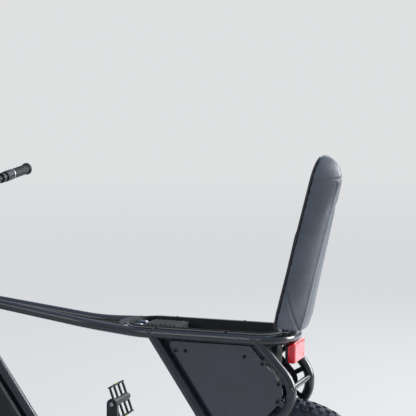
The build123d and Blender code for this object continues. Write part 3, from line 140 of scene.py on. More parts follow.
layers = {0: evened.outputs[0], 1: shader.outputs[0], 2: backdrop.outputs[0]}
ground = add(tree, "ShaderNodeMixShader", layers)
set_sockets(tree.nodes["Material Output"], {"Surface": ground.outputs[0]})
floor.data.materials.append(floor_paint)

room = bpy.data.worlds.new("room")
bpy.context.scene.world = room
room.use_nodes = True
tree = room.node_tree
tree.nodes.clear()
sight = add(tree, "ShaderNodeLightPath").outputs
rays = {0: sight["Is Camera Ray"], 1: sight["Is Transmission Ray"]}
seen = add(tree, "ShaderNodeMath", rays, operation="ADD")
way = add(tree, "ShaderNodeTexCoord").outputs["Generated"]
climb = add(tree, "ShaderNodeSeparateXYZ", {0: way}).outputs["Z"]
sky = mixed(tree, mapped(tree, climb, -0.1, 0.9, 0.0, 1.0), ROOM_COLOUR, SKY_COLOUR)
plain = add(tree, "ShaderNodeBackground", {"Color": linear(ROOM_COLOUR), "Strength": 1.0})
bright = mapped(tree, climb, 0.05, 0.85, HORIZON_LIGHT, OVERHEAD_LIGHT)
lit = add(tree, "ShaderNodeBackground", {"Color": sky, "Strength": bright})
both = add(tree, "ShaderNodeMixShader", {0: seen.outputs[0], 1: lit.outputs[0], 2: plain.outputs[0]})
add(tree, "ShaderNodeOutputWorld", {"Surface": both.outputs[0]})

# name, place, aim, width, watts
for name, place, aim, width, watts in (
    ("key_lamp", (-4.2, -2.2, 2.3), (-0.4, 0.0, 0.9), 2.6, 330.0),
    ("fill_lamp", (1.6, 4.6, 3.2), (-0.2, 0.0, 0.7), 3.0, 48.0),
    ("far_lamp", (-1.0, -4.0, 3.0), (-0.2, 0.0, 0.8), 2.5, 60.0),
):
    lamp_data = bpy.data.lights.new(name, "AREA")
    lamp_data.size = width
    lamp_data.energy = watts
    lamp = in_scene(name, lamp_data)
    lamp.location = place
    lamp.rotation_mode = "QUATERNION"
    lamp.rotation_quaternion = (Vector(aim) - Vector(place)).to_track_quat("-Z", "Y")

# Frame: bent and welded aluminium tubes under satin black powder coat. The baked powder leaves a faint orange
# peel about a millimetre and a half across, a soft sheen, and a tone that drifts a little at random.
# Rippled beads run round each joint, where the welder added rod in small steps.
PAINT_BLACK = "#111317"
PAINT_WORN = "#1c1f25"
PEEL_MM = 1.6
AXLE_TO_ORIGIN_MM = 615.0
BEAD_MM = 2.2
BEAD_STEP_MM = 2.6
BEAD_PROUD_MM = 0.4
BEAD_STEPS = 56


def cells(size_mm):
    """A texture's scale for cells of that size on a piece drawn in metres."""
    return 1000.0 / size_mm


def on_piece(tree):
    """Coordinates that stay with the piece, in metres."""
    return add(tree, "ShaderNodeTexCoord").outputs["Object"]


def drifting(tree, patch_mm, detail):
    """A value that drifts over patches of that size."""
    sockets = {"Vector": on_piece(tree), "Scale": cells(patch_mm), "Detail": detail}
    return add(tree, "ShaderNodeTexNoise", sockets).outputs[0]


def uneven_colour(shader, dark, light, patch_mm):
    """Colour that drifts between two shades over patches of that size."""
    tree = shader.id_data
    spread = mapped(tree, drifting(tree, patch_mm, 5.0), 0.35, 0.65, 0.0, 1.0)
    set_sockets(shader, {"Base Color": mixed(tree, spread, dark, light)})


def relieve(shader, height, depth_mm, strength=1.0, **settings):
    """Gives a finish relief of that depth from a height between 0 and 1."""
    sockets = {"Height": height, "Distance": depth_mm / 1000, "Strength": strength}
    relief = add(shader.id_data, "ShaderNodeBump", sockets, **settings)
    set_sockets(shader, {"Normal": relief.outputs[0]})


def grain(shader, size_mm, depth_mm):
    """A fine pebbled relief of that size and depth."""
    relieve(shader, drifting(shader.id_data, size_mm, 2.0), depth_mm)


def cellular(shader, size_mm, depth_mm, strength):
    """A relief of rounded cells with fine valleys between them, as in leathery and spark-eroded skins."""
    tree = shader.id_data
    pattern = add(tree, "ShaderNodeTexVoronoi", {"Vector": on_piece(tree), "Scale": cells(size_mm)})
    relieve(shader, pattern.outputs["Distance"], depth_mm, strength, invert=True)


def uneven_gloss(shader, low, high, patch_mm):
    """Roughness that drifts between two values, as handled and dusty surfaces do."""
    tree = shader.id_data
    gloss = mapped(tree, drifting(tree, patch_mm, 4.0), 0.3, 0.7, low, high)
    set_sockets(shader, {"Roughness": gloss})


def wear(material, *names):
    """Gives whole nodes of the frame one finish."""
    for name in names:
        NODES[name].data.materials.clear()
        NODES[name].data.materials.append(material)


def wear_partly(material, name, wanted):
    """Gives some faces of a node another finish: those whose middle and normal pass the test."""
    mesh = NODES[name].data
    mesh.materials.append(material)
    for face in mesh.polygons:
        if wanted(face.center, face.normal):
            face.material_index = len(mesh.materials) - 1


def at(x, y, z):
    """A place from millimetres measured from the floor under the rear axle."""
    return Vector(((x - AXLE_TO_ORIGIN_MM) / 1000, y / 1000, z / 1000))


def made(name, shape, body, finish, crease_degrees=38.0):
    """Turns drawn geometry into a piece that rides a body; edges sharper than the crease stay crisp."""
    bmesh.ops.recalc_face_normals(shape, faces=shape.faces[:])
    for edge in shape.edges:
        if len(edge.link_faces) == 2 and edge.calc_face_angle() > math.radians(crease_degrees):
            edge.smooth = False
    mesh = bpy.data.meshes.new(name)
    shape.to_mesh(mesh)
    shape.free()
    mesh.polygons.foreach_set("use_smooth", [True] * len(mesh.polygons))
    mesh.materials.append(finish)
    piece = in_scene(name, mesh)
    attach(piece, body)
    return piece


def ring_faces(shape, rings, closed=False):
    """Joins rings of equally many vertices into a skin, and caps its ends unless it closes on itself."""
    pairs = list(zip(rings, rings[1:]))
    if closed:
        pairs.append((rings[-1], rings[0]))
    for low, high in pairs:
        for step in range(len(low)):
            after = (step + 1) % len(low)
            shape.faces.new((low[step], low[after], high[after], high[step]))
    if not closed:
        shape.faces.new(rings[0][::-1])
        shape.faces.new(rings[-1])


def turn(shape, rows, place, along, segments=20):
    """Adds a turned body from rows in millimetres: radius, height and how hexagonal, if it isn't round."""
    aimed = along.to_track_quat("Z", "Y").to_matrix()
    rings = []
    for radius, height, *flattened in rows:
        hexagonal = sum(flattened)
        ring = []
        for step in range(segments):
            angle = 2 * math.pi * step / segments
            flat = math.cos(math.pi / 6) / math.cos(angle % (math.pi / 3) - math.pi / 6)
            reach = radius * (1 - hexagonal + hexagonal * flat)
            spot = Vector((reach * math.cos(angle), reach * math.sin(angle), height))
            ring.append(shape.verts.new(place + aimed @ spot / 1000))
        rings.append(ring)
    ring_faces(shape, rings)
    return rings


def weld(shape, start, toward, radius, other, other_toward, other_radius):
    """Adds the rippled bead where a tube from start meets another tube, all in millimetres."""
    run, other_run = (toward - start).normalized(), (other_toward - other).normalized()
    side = run.orthogonal().normalized()
    far = run.cross(side)
    line = []
    climb = run - other_run * run.dot(other_run)
    steepness = climb.length_squared
    for step in range(BEAD_STEPS):
        angle = 2 * math.pi * step / BEAD_STEPS
        edge = start + (side * math.cos(angle) + far * math.sin(angle)) * radius
        gap = (edge - other) - other_run * (edge - other).dot(other_run)
        half = gap.dot(climb)
        reach = (other_radius + BEAD_PROUD_MM) ** 2
        left_over = max(0.0, half * half - steepness * (gap.length_squared - reach))
        line.append(edge + run * (math.sqrt(left_over) - half) / steepness)
    length = sum((line[index] - line[index - 1]).length for index in range(BEAD_STEPS))
    ripples = round(length / BEAD_STEP_MM)
    rings = []
    for index, point in enumerate(line):
        ahead = (line[(index + 1) % BEAD_STEPS] - line[index - 1]).normalized()
        across = ahead.cross(run).normalized()
        up = across.cross(ahead)
        bead = BEAD_MM * (0.88 + 0.12 * math.cos(2 * math.pi * ripples * index / BEAD_STEPS))
        ring = []
        for corner in range(6):
            turned_by = 2 * math.pi * corner / 6
            outward = across * math.cos(turned_by) + up * math.sin(turned_by)
            ring.append(shape.verts.new(at(*(point + outward * bead))))
        rings.append(ring)
    ring_faces(shape, rings, closed=True)


powder_coat, shader = new_finish("satin_black_powder_coat", 0.25)
uneven_colour(shader, PAINT_BLACK, PAINT_WORN, 70.0)
uneven_gloss(shader, 0.2, 0.32, 25.0)
grain(shader, PEEL_MM, 0.007)
set_sockets(shader, {"Coat Weight": 0.5, "Coat Roughness": 0.2})
wear(powder_coat, "main_tubes", "head_tube", "down_tube", "bottom_bracket", "seat_stays")
wear(powder_coat, "rear_hoop", "chainstays", "stand_bracket", "centre_stand")

RAIL_Y = 94.0
RAIL_Z = 771.0
TUBE_MM = 14.3
CROSSBAR_MM = 8.0
CHAINSTAY_MM = 11.0
HEAD_TUBE_MM = 28.0
DOWN_TUBE_MM = 17.5
SHELL_MM = 22.0
head_place, head_above = Vector((1005.0, 0.0, 790.0)), Vector((970.8, 0.0, 884.0))
shell_place, shell_aside = Vector((578.0, 0.0, 338.0)), Vector((578.0, 50.0, 338.0))
tube_low, tube_high = Vector((738.0, 0.0, 374.0)), Vector((1013.0, 0.0, 768.0))


def left(along, height, aside=RAIL_Y):
    """A place on the frame's left half, as a rule in the plane of its left rail."""
    return Vector((along, aside, height))


def other_side(place, side):
    """The place on the side named by the sign: the same, or mirrored to the right."""
    return Vector((place.x, place.y * side, place.z))


hoop = left(-35.6, 638.2)
# start, place it runs toward, radius, place on the other tube, place that one runs toward, radius
left_joints = (
    (left(332.2, 701.0), left(379.0, RAIL_Z), TUBE_MM, left(300, RAIL_Z), left(400, RAIL_Z), TUBE_MM),
    (left(21.2, 721.0), left(66.0, RAIL_Z), TUBE_MM, left(0, RAIL_Z), left(100, RAIL_Z), TUBE_MM),
    (left(60.0, 485.0), left(134.5, 405.0), TUBE_MM, left(134.5, 405.0), left(379.0, RAIL_Z), TUBE_MM),
    (left(102.1, 356.5), left(68.7, 306.5), TUBE_MM, left(46, 298.0), left(118.7, 305.0), CHAINSTAY_MM),
    (left(-35.6, 638.2, 40.0), hoop, CROSSBAR_MM, hoop, left(-44.1, 589.0), TUBE_MM),
    (left(900.0, 815.0, 22.0), left(992.0, 826.7, 15.5), TUBE_MM, head_place, head_above, HEAD_TUBE_MM),
)
joints_drawn = bmesh.new()
for side in (1, -1):
    for start, toward, radius, other, other_toward, other_radius in left_joints:
        run = [other_side(place, side) for place in (start, toward)]
        other_run = [other_side(place, side) for place in (other, other_toward)]
        weld(joints_drawn, *run, radius, *other_run, other_radius)
weld(joints_drawn, tube_low, tube_high, DOWN_TUBE_MM, head_place, head_above, HEAD_TUBE_MM)
weld(joints_drawn, tube_low, shell_place, DOWN_TUBE_MM, shell_place, shell_aside, SHELL_MM)
made("weld_beads", joints_drawn, "frame", powder_coat, 60.0)

# Alloy parts: forged and machined aluminium, black anodised. The dye leaves a matt, faintly
# metallic black with fine machining grain.
ALLOY_BLACK = "#17181b"
ALLOY_EDGE = "#26282c"

black_alloy, shader = new_finish("black_anodised_aluminium", 0.4, 0.35)
uneven_colour(shader, ALLOY_BLACK, ALLOY_EDGE, 22.0)
uneven_gloss(shader, 0.34, 0.48, 9.0)
grain(shader, 0.9, 0.02)
wear(black_alloy, "stem", "handlebar", "brake_levers", "fork_lowers", "fork_upper", "rear_caliper")
wear(black_alloy, "front_caliper", "crank_arms", "chainring", "pedal_left", "pedal_right", "front_hub")
wear(black_alloy, "front_rim", "rear_rim", "hub_motor")

# Bright steel: turned and ground, left bare on pins, discs and spindles, with a tone and gloss that drift a
# little.
STEEL_GREY = "#b4b6b8"
STEEL_DULL = "#8e9092"

bright_steel, shader = new_finish("ground_steel", 0.26, 1.0)
uneven_colour(shader, STEEL_DULL, STEEL_GREY, 12.0)
uneven_gloss(shader, 0.2, 0.34, 4.0)
wear(bright_steel, "seat_hinge", "front_disc", "rear_disc", "pedal_spindles")

# Fasteners: cold-headed steel screws, black oxide or zinc, each with a rounded button head and a
# hexagonal socket pressed into it. The oil left in the oxide gives them a soft dark gloss.
OXIDE_BLACK = "#101113"
OXIDE_WORN = "#1d1e21"

oxide_steel, shader = new_finish("black_oxide_steel", 0.3, 0.6)
uneven_colour(shader, OXIDE_BLACK, OXIDE_WORN, 5.0)
uneven_gloss(shader, 0.24, 0.4, 3.0)


def button_head(radius):
    """Rows of a button head with its socket, for a head of that radius in millimetres."""
    height = radius * 0.55
    socket = radius * 0.5
    return (
        (radius, -0.6),
        (radius, height * 0.25),
        (radius * 0.9, height * 0.62),
        (radius * 0.72, height * 0.9),
        (radius * 0.56, height),
        (socket, height * 0.96, 1.0),
        (socket, height * 0.25, 1.0),
        (socket * 0.3, height * 0.2),
    )


def hex_nut(across_flats, height):
    """Rows of a nut with its washer, chamfered at the outer end."""
    reach = across_flats / 2 / math.cos(math.pi / 6)
    washer = ((reach * 1.25, 0.0), (reach * 1.25, 1.4))
    return washer + ((reach, 1.4, 1.0), (reach, height - 1.0, 1.0), (reach * 0.86, height, 0.3))


def screws(name, body, finish, rows, places):
    """One piece of like fasteners, from pairs of place in millimetres and direction."""
    drawn = bmesh.new()
    for place, direction in places:
        turn(drawn, rows, at(*place), Vector(direction), 24)
    return made(name, drawn, body, finish)


def sideways(spots, aside):
    """Fasteners' places that far out on both sides, facing outward, from pairs of along and height."""
    return [((x, side * aside, z), (0, side, 0)) for x, z in spots for side in (1, -1)]


# Battery box: one deep pressing of black ABS. Its lip lies on the rail under a soft sealing bead and
# shines from the mould; the walls inside have a finer, duller grain.
PLASTIC_BLACK = "#121315"
PLASTIC_GREY = "#1b1c1f"
LIP_TOP_MM = 787.8
LIP_THICKNESS_MM = 2.5
SEAL_RISE_MM = 0.4

moulded_black, shader = new_finish("moulded_black_abs", 0.44)
uneven_colour(shader, PLASTIC_BLACK, PLASTIC_GREY, 40.0)
uneven_gloss(shader, 0.38, 0.52, 15.0)
grain(shader, 1.0, 0.03)
wear(moulded_black, "battery_tray", "tail_light_case", "seat_pan", "headlight", "display")

glossy_lip, shader = new_finish("mould_polished_abs", 0.16)
uneven_colour(shader, PLASTIC_BLACK, PLASTIC_GREY, 60.0)
uneven_gloss(shader, 0.12, 0.24, 18.0)
wear_partly(glossy_lip, "battery_tray", lambda place, normal: place.z * 1000 > LIP_TOP_MM - LIP_THICKNESS_MM)

seal_rubber, shader = new_finish("sealing_rubber", 0.6)
uneven_colour(shader, "#0e0e10", "#191a1c", 8.0)
grain(shader, 0.5, 0.02)
wear_partly(seal_rubber, "battery_tray", lambda place, normal: place.z * 1000 > LIP_TOP_MM + SEAL_RISE_MM)

lip_places = [((x, y, LIP_TOP_MM), (0, 0, 1)) for x in (366.0, 157.0) for y in (86.0, -86.0)]
screws("lip_screws", "frame", oxide_steel, button_head(5.2), lip_places)

# Cover between the top tubes: ABS with a deep spark-eroded grain that hides scuffs from feet.
grained_cover, shader = new_finish("coarse_grained_abs", 0.5)
uneven_colour(shader, "#191b1d", "#26282a", 9.0)
cellular(shader, 2.2, 0.5, 0.9)
wear(grained_cover, "gusset_plate")

# Battery: a closed ABS case with a ribbed head, two plugs of gloss nylon and the sprung steel clip
# that keeps it down, bent from one strip and left passivated yellow.
battery_case, shader = new_finish("matt_battery_case", 0.52)
uneven_colour(shader, "#141517", "#202124", 18.0)
cellular(shader, 1.1, 0.06, 0.7)
wear(battery_case, "battery")

gloss_plug, shader = new_finish("gloss_black_nylon_painted_sky_reflection", 0.14)
# the blue in the plugs' colour is a painted reflection of the sky on gloss black nylon
uneven_colour(shader, "#1a2738", "#32465e", 6.0)
set_sockets(shader, {"Coat Weight": 0.6, "Coat Roughness": 0.08})
wear(gloss_plug, "battery_plugs")

passivated_steel, shader = new_finish("yellow_passivated_steel", 0.3, 0.85)
uneven_colour(shader, "#9c8f76", "#c2b79c", 5.0)
uneven_gloss(shader, 0.24, 0.42, 3.0)


def plate(shape, outline, place, right, out, thickness, chamfered=0.3):
    """Adds a flat piece: an outline in millimetres that stands out from its place, its edge chamfered."""
    up = out.cross(right)
    reach = max(math.hypot(x, y) for x, y in outline)
    rings = []
    for level, drawn_in in ((0.0, 0.0), (thickness - chamfered, 0.0), (thickness, chamfered)):
        scale = 1 - drawn_in / reach
        ring = []
        for x, y in outline:
            spot = right * x * scale + up * y * scale + out * level
            ring.append(shape.verts.new(place + spot / 1000))
        rings.append(ring)
    ring_faces(shape, rings)


def rounded(width, height, corner, steps=5):
    """The outline of a rectangle with rounded corners, centred."""
    points = []
    for quarter, (across, up) in enumerate(((1, 1), (-1, 1), (-1, -1), (1, -1))):
        for step in range(steps + 1):
            angle = math.pi / 2 * (quarter + step / steps)
            x = across * (width / 2 - corner) + corner * math.cos(angle)
            points.append((x, up * (height / 2 - corner) + corner * math.sin(angle)))
    return points


AHEAD, ASIDE, UPWARD = Vector((1, 0, 0)), Vector((0, 1, 0)), Vector((0, 0, 1))
clip = bmesh.new()
plate(clip, rounded(22, 14, 2), at(431.5, 36, 780.5), ASIDE, UPWARD, 1.2)
plate(clip, rounded(22, 20, 2), at(426.3, 36, 771.5), ASIDE, AHEAD, 1.2)
plate(clip, rounded(22, 8, 1.5), at(437.0, 36, 778.2), ASIDE, AHEAD, 1.2)
turn(clip, button_head(3.6), at(432.5, 36, 781.5), UPWARD, 18)
made("battery_clip", clip, "frame", passivated_steel)

# Side panels: flat sheet, lacquered near black with a clear gloss, screwed to the box and, by its
# rim, to small welded tabs. The lettering of the real panel is left off.
panel_paint, shader = new_finish("lacquered_panel", 0.2)
uneven_colour(shader, "#20212a", "#2a2b36", 120.0)
uneven_gloss(shader, 0.17, 0.26, 60.0)
set_sockets(shader, {"Coat Weight": 0.7, "Coat Roughness": 0.1})
wear(panel_paint, "side_panels")

PANEL_FACE_MM = 79.0
TAB_FACE_MM = 82.0
PANEL_SCREWS = ((281.0, 724.0), (105.0, 719.0))
# one through each welded tab, where it laps over the panel's rim
TAB_SCREWS = ((162.4, 499.1), (311.4, 722.1), (52.3, 701.8), (5.2, 648.2), (7.8, 598.3), (97.7, 497.9))
for name, spots, face, radius in (
    ("panel_screws", PANEL_SCREWS, PANEL_FACE_MM, 5.4),
    ("tab_screws", TAB_SCREWS, TAB_FACE_MM, 4.4),
):
    screws(name, "frame", oxide_steel, button_head(radius), sideways(spots, face))

# the panel's front rim is joggled inward and runs on behind the stay, so no daylight shows between them
RIM_THICKNESS_MM = 1.4
RIM_BACK_MM = PANEL_FACE_MM - 2.3
STAY_FOOT, STAY_TOP = Vector((134.5, 405.0)), Vector((379.0, RAIL_Z))
up_stay = (STAY_TOP - STAY_FOOT).normalized()
behind_stay = Vector((-up_stay.y, up_stay.x))
rim_middle = STAY_FOOT + up_stay * 215 + behind_stay * 15.5
rims = bmesh.new()
for side in (1, -1):
    outline = []
    # along the stay from its foot, behind its middle line
    for along, behind in ((47.0, 24.5), (385.0, 24.5), (379.0, 7.0), (41.0, 7.0)):
        corner = STAY_FOOT + up_stay * along + behind_stay * behind - rim_middle
        outline.append((corner.x, -side * corner.y))
    middle = at(rim_middle.x, side * RIM_BACK_MM, rim_middle.y)
    plate(rims, outline, middle, AHEAD, ASIDE * side, RIM_THICKNESS_MM)
made("panel_rims", rims, "frame", panel_paint)

# Tail light: a red acrylic lens over a reflector, with a prism window in its rear face and an oval reflex
# patch moulded into each end. The lens and window glow faintly, a painted glow, and the window's pale pink is
# a painted highlight. Prisms repeat about every two and a half millimetres.
LAMP_RED = "#d30f1e"
LAMP_DEEP = "#a00614"


def prisms(shader, pitch_mm, depth_mm):
    """A relief of small square prisms, as moulded into reflectors."""
    tree = shader.id_data
    ridged = {"Vector": on_piece(tree), "Scale": cells(pitch_mm) / 2}
    ridges = []
    for direction in ("Y", "Z"):
        waves = add(tree, "ShaderNodeTexWave", ridged, bands_direction=direction, wave_profile="TRI")
        ridges.append(waves.outputs[1])
    crossed = add(tree, "ShaderNodeMath", {0: ridges[0], 1: ridges[1]}, operation="ADD")
    relieve(shader, crossed.outputs[0], depth_mm)


red_lens, shader = new_finish("red_acrylic", 0.08)
uneven_colour(shader, LAMP_DEEP, LAMP_RED, 16.0)
set_sockets(shader, {"Coat Weight": 0.5, "Coat Roughness": 0.06})
# the lens glows faintly in its own red, a painted glow that brightens it though the lamp is not lit
set_sockets(shader, {"Emission Color": linear(LAMP_RED), "Emission Strength": 0.16})
wear(red_lens, "tail_light")

# the window's pale pink is a painted highlight, standing in for white reflections on the lamp's red rear face
pale_prism, shader = new_finish("prism_window_painted_highlight", 0.3)
uneven_colour(shader, "#c04a56", "#dc9c9d", 7.0)
prisms(shader, 2.5, 0.5)
# the window glows faintly pink, a painted glow
set_sockets(shader, {"Coat Weight": 0.25, "Emission Color": linear("#d8545c"), "Emission Strength": 0.06})

red_prism, shader = new_finish("red_reflex_patch", 0.1)
uneven_colour(shader, "#c3101d", "#de2f38", 4.0)
prisms(shader, 1.6, 0.3)
set_sockets(shader, {"Coat Weight": 0.3})

window = bmesh.new()
plate(window, rounded(92, 46, 5), at(-33.9, 0, 731.5), ASIDE, -AHEAD, 0.9)
made("tail_light_window", window, "frame", pale_prism)
patches = bmesh.new()
oval = [(5.2 * math.cos(math.pi * step / 16), 19.0 * math.sin(math.pi * step / 16)) for step in range(32)]
for side in (1, -1):
    plate(patches, oval, at(-23.5, side * 51.9, 728.5), AHEAD, ASIDE * side, 0.9)
made("tail_light_patches", patches, "frame", red_prism)

# Seat: slabs of moulded foam on the base plate under a stretched vinyl cover. Its rear and nose
# panels join the long ones at double stitched seams, which draw the skin in, and the long flanks
# meet the top in a turned edge that stands up a little.
SEAT_OPEN = math.radians(-103.0)
SEAT_HINGE = Vector((14.5, 0.0, 799.0))
SEAT_BASE_MM = 799.0
VINYL_DARK = "#40454d"
VINYL_LIGHT = "#50565f"
REMESH_MM = 4.5
COVER_CAP_MM = 4.0
FOAM_SHRINK_MM = 1.2
STAPLED_MM = 7.0
CLOTH_FRAMES = 20
STITCH_PITCH_MM = 4.2
STITCH_ASIDE_MM = 3.0
turned_open = Matrix.Rotation(SEAT_OPEN, 3, "Y")
hinge_row = at(*SEAT_HINGE)

cover_mesh = NODES["seat_cushion"].data.copy()
cushion = bmesh.new()
cushion.from_mesh(cover_mesh)
bmesh.ops.remove_doubles(cushion, verts=cushion.verts[:], dist=0.00005)
cushion.to_mesh(cover_mesh)
limits = BVHTree.FromBMesh(cushion)
cushion.free()
cover_mesh.materials.clear()
seat_cover = in_scene("seat_cover", cover_mesh)


def settled(piece, last_frame=1):
    """Bakes the piece's modifiers, stepping through the frames first, and clears them."""
    for number in range(1, last_frame + 1):
        bpy.context.scene.frame_set(number)
    shaped = bpy.data.meshes.new_from_object(piece.evaluated_get(bpy.context.evaluated_depsgraph_get()))
    piece.modifiers.clear()
    piece.data = shaped
    bpy.context.scene.frame_set(1)


def closed_seat(point):
    """Where a point of the open seat lies once the seat is closed, in millimetres."""
    return turned_open.transposed() @ (point - hinge_row) * 1000 + SEAT_HINGE


even = seat_cover.modifiers.new("even_quads", "REMESH")
even.mode = "VOXEL"
even.voxel_size = REMESH_MM / 1000
settled(seat_cover)
foam = bmesh.new()
foam.from_mesh(seat_cover.data)
for _ in range(4):
    bmesh.ops.smooth_vert(
        foam, verts=foam.verts[:], factor=0.5, use_axis_x=True, use_axis_y=True, use_axis_z=True
    )
foam.normal_update()
for vertex in foam.verts:
    vertex.co -= vertex.normal * (FOAM_SHRINK_MM / 1000)
foam.to_mesh(seat_cover.data)
foam.free()
held = seat_cover.vertex_groups.new(name="stapled_edge")
stapled = [v.index for v in seat_cover.data.vertices if closed_seat(v.co).z < SEAT_BASE_MM + STAPLED_MM]
held.add(stapled, 1.0, "REPLACE")
cloth = seat_cover.modifiers.new("stretch", "CLOTH")
cloth.settings.quality = 6
cloth.settings.use_pressure = True
cloth.settings.uniform_pressure_force = 4.0
cloth.settings.tension_stiffness = 40.0
cloth.settings.compression_stiffness = 40.0
cloth.settings.bending_stiffness = 6.0
cloth.settings.vertex_group_mass = held.name
cloth.settings.effector_weights.gravity = 0.0
cloth.collision_settings.use_self_collision = False
settled(seat_cover, CLOTH_FRAMES)
finer = seat_cover.modifiers.new("finer", "SUBSURF")
finer.levels = 1
finer.render_levels = 1
settled(seat_cover)

# nose and rear: place in the closed seat, normal of the seam's plane
seams = (
    (Vector((457.0, 0.0, 841.0)), Vector((1.0, 0.0, -0.25)).normalized()),
    (Vector((67.0, 0.0, 836.0)), Vector((0.453, 0.0, 1.0)).normalized()),
)
# the turned edge between flank and top: along from the seat's rear end, aside, above its base
SEAT_REAR_MM = 20.3
shoulder_places = ((0.0, 38.0, 59.5), (45.0, 42.0, 64.2), (230.0, 30.0, 64.2), (428.0, 14.0, 64.2))
SHOULDER = [Vector(place) for place in shoulder_places]
SHOULDER_RISE_MM = 2.4
SHOULDER_REACH_MM = 5.0
# a seam draws the skin in, and a low puff stands beside it
SEAM_DEPTH_MM, SEAM_REACH_MM = 1.5, 2.2
PUFF_RISE_MM, PUFF_ASIDE_MM, PUFF_REACH_MM = 0.35, 6.5, 3.0


def from_shoulder(place):
    """How far a place in the closed seat lies from the turned edge, in millimetres."""
    spot = Vector((place.x - SEAT_REAR_MM, abs(place.y), place.z - SEAT_BASE_MM))
    gaps = []
    for start, end in zip(SHOULDER, SHOULDER[1:]):
        share = (spot - start).dot(end - start) / (end - start).length_squared
        gaps.append((spot - start.lerp(end, min(1.0, max(0.0, share)))).length)
    return min(gaps)


skin = bmesh.new()
skin.from_mesh(seat_cover.data)
skin.normal_update()
for vertex in skin.verts:
    nearest, facing, _, _ = limits.find_nearest(vertex.co)
    swell = (vertex.co - nearest).dot(facing) * 1000
    if swell > COVER_CAP_MM:
        vertex.co -= facing * (swell - COVER_CAP_MM) / 1000
    place = closed_seat(vertex.co)
    if place.z < SEAT_BASE_MM + 5.0:
        continue
    risen = SHOULDER_RISE_MM * math.exp(-((from_shoulder(place) / SHOULDER_REACH_MM) ** 2))
    vertex.co += vertex.normal * risen / 1000
    for middle, normal in seams:
        away = (place - middle).dot(normal)
        drawn_in = SEAM_DEPTH_MM * math.exp(-((away / SEAM_REACH_MM) ** 2))
        puff = PUFF_RISE_MM * math.exp(-(((abs(away) - PUFF_ASIDE_MM) / PUFF_REACH_MM) ** 2))
        vertex.co -= vertex.normal * (drawn_in - puff) / 1000
skin.normal_update()
skin.to_mesh(seat_cover.data)
skin_tree = BVHTree.FromBMesh(skin)

# radius, along the thread
thread = ((0.2, -1.5), (0.42, -1.2), (0.5, 0.0), (0.42, 1.2), (0.2, 1.5))
stitches = bmesh.new()
for middle, normal in seams:
    cut = skin.copy()
    plane_place = hinge_row + turned_open @ (middle - SEAT_HINGE) / 1000
    plane_normal = turned_open @ normal
    whole = cut.verts[:] + cut.edges[:] + cut.faces[:]
    sliced = bmesh.ops.bisect_plane(cut, geom=whole, plane_co=plane_place, plane_no=plane_normal)
    line = [part for part in sliced["geom_cut"] if isinstance(part, bmesh.types.BMEdge)]
    loops = {}
    for edge in line:
        one, two = edge.verts
        loops.setdefault(one, []).append(two)
        loops.setdefault(two, []).append(one)
    start = min(loops, key=lambda vertex: closed_seat(vertex.co).z)
    chain, last, here = [start.co.copy()], None, start
    while True:
        following = [vertex for vertex in loops[here] if vertex is not last]
        last, here = here, following[0]
        if here is start:
            break
        chain.append(here.co.copy())
    walked = 0.0
    for first, second in zip(chain, chain[1:]):
        span = (second - first).length * 1000
        while walked < span:
            middle_point = first.lerp(second, walked / span)
            walked += STITCH_PITCH_MM
            if closed_seat(middle_point).z < SEAT_BASE_MM + 6.0:
                continue
            along = (second - first).normalized()
            for side in (1, -1):
                aside = plane_normal * side * STITCH_ASIDE_MM / 1000
                spot, facing, _, _ = skin_tree.find_nearest(middle_point + aside)
                turn(stitches, thread, spot + facing * 0.00015, along, 6)
        walked -= span
    cut.free()
skin.free()

seat_vinyl, shader = new_finish("grained_seat_vinyl", 0.42)
uneven_colour(shader, VINYL_DARK, VINYL_LIGHT, 90.0)
cellular(shader, 1.2, 0.09, 0.8)
set_sockets(shader, {"Sheen Weight": 0.08})
seat_cover.data.materials.append(seat_vinyl)
seat_cover.data.polygons.foreach_set("use_smooth", [True] * len(seat_cover.data.polygons))
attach(seat_cover, "seat")
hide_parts("seat_cushion")

seam_thread, shader = new_finish("dark_polyester_thread", 0.55)
uneven_colour(shader, "#26282b", "#3a3d41", 2.0)
made("seat_stitches", stitches, "seat", seam_thread, 80.0)

hinge_places = [((6.0, y, 790.2), (0, 0, 1)) for y in (-36.0, 36.0)]
screws("hinge_screws", "frame", oxide_steel, button_head(4.0), hinge_places)

# Wheels: fat tyres of dusty black rubber whose knobs stand about five millimetres proud, on wide
# black rims laced with black wire. The sidewall is smooth but for a thin rib above the rim.
WHEELBASE_MM = 1230.0
AXLE_HEIGHT_MM = 297.0
TYRE_MIDDLE_MM = 248.5
TYRE_HALF_HEIGHT_MM = 48.5
TYRE_HALF_WIDTH_MM = 50.0
TREAD_DEPTH_MM = 5.4
TREAD_EDGE_DEGREES = 70.0
PITCHES = 60
TURN_STEPS = 150
RUBBER_BLACK = "#1d2128"
RUBBER_DUSTY = "#3a404b"
# round from the crown in degrees, shift in pitches, length along the tread, width across it
KNOB_ROWS = (
    (0.0, 0.0, 18.0, 18.0),
    (22.0, 0.5, 17.0, 15.0),
    (-22.0, 0.5, 17.0, 15.0),
    (43.5, 0.0, 19.0, 14.0),
    (-43.5, 0.0, 19.0, 14.0),
    (64.0, 0.5, 15.0, 12.0),
    (-64.0, 0.5, 15.0, 12.0),
)


def on_tyre(axle_x, round_degrees, turned_by, depth):
    """A place on the tyre so far round its section and its circumference, under its outer skin."""
    lean = math.radians(round_degrees)
    radius = TYRE_MIDDLE_MM + (TYRE_HALF_HEIGHT_MM - depth) * math.cos(lean)
    aside = (TYRE_HALF_WIDTH_MM - depth) * math.sin(lean)
    return at(axle_x + radius * math.cos(turned_by), aside, AXLE_HEIGHT_MM + radius * math.sin(turned_by))


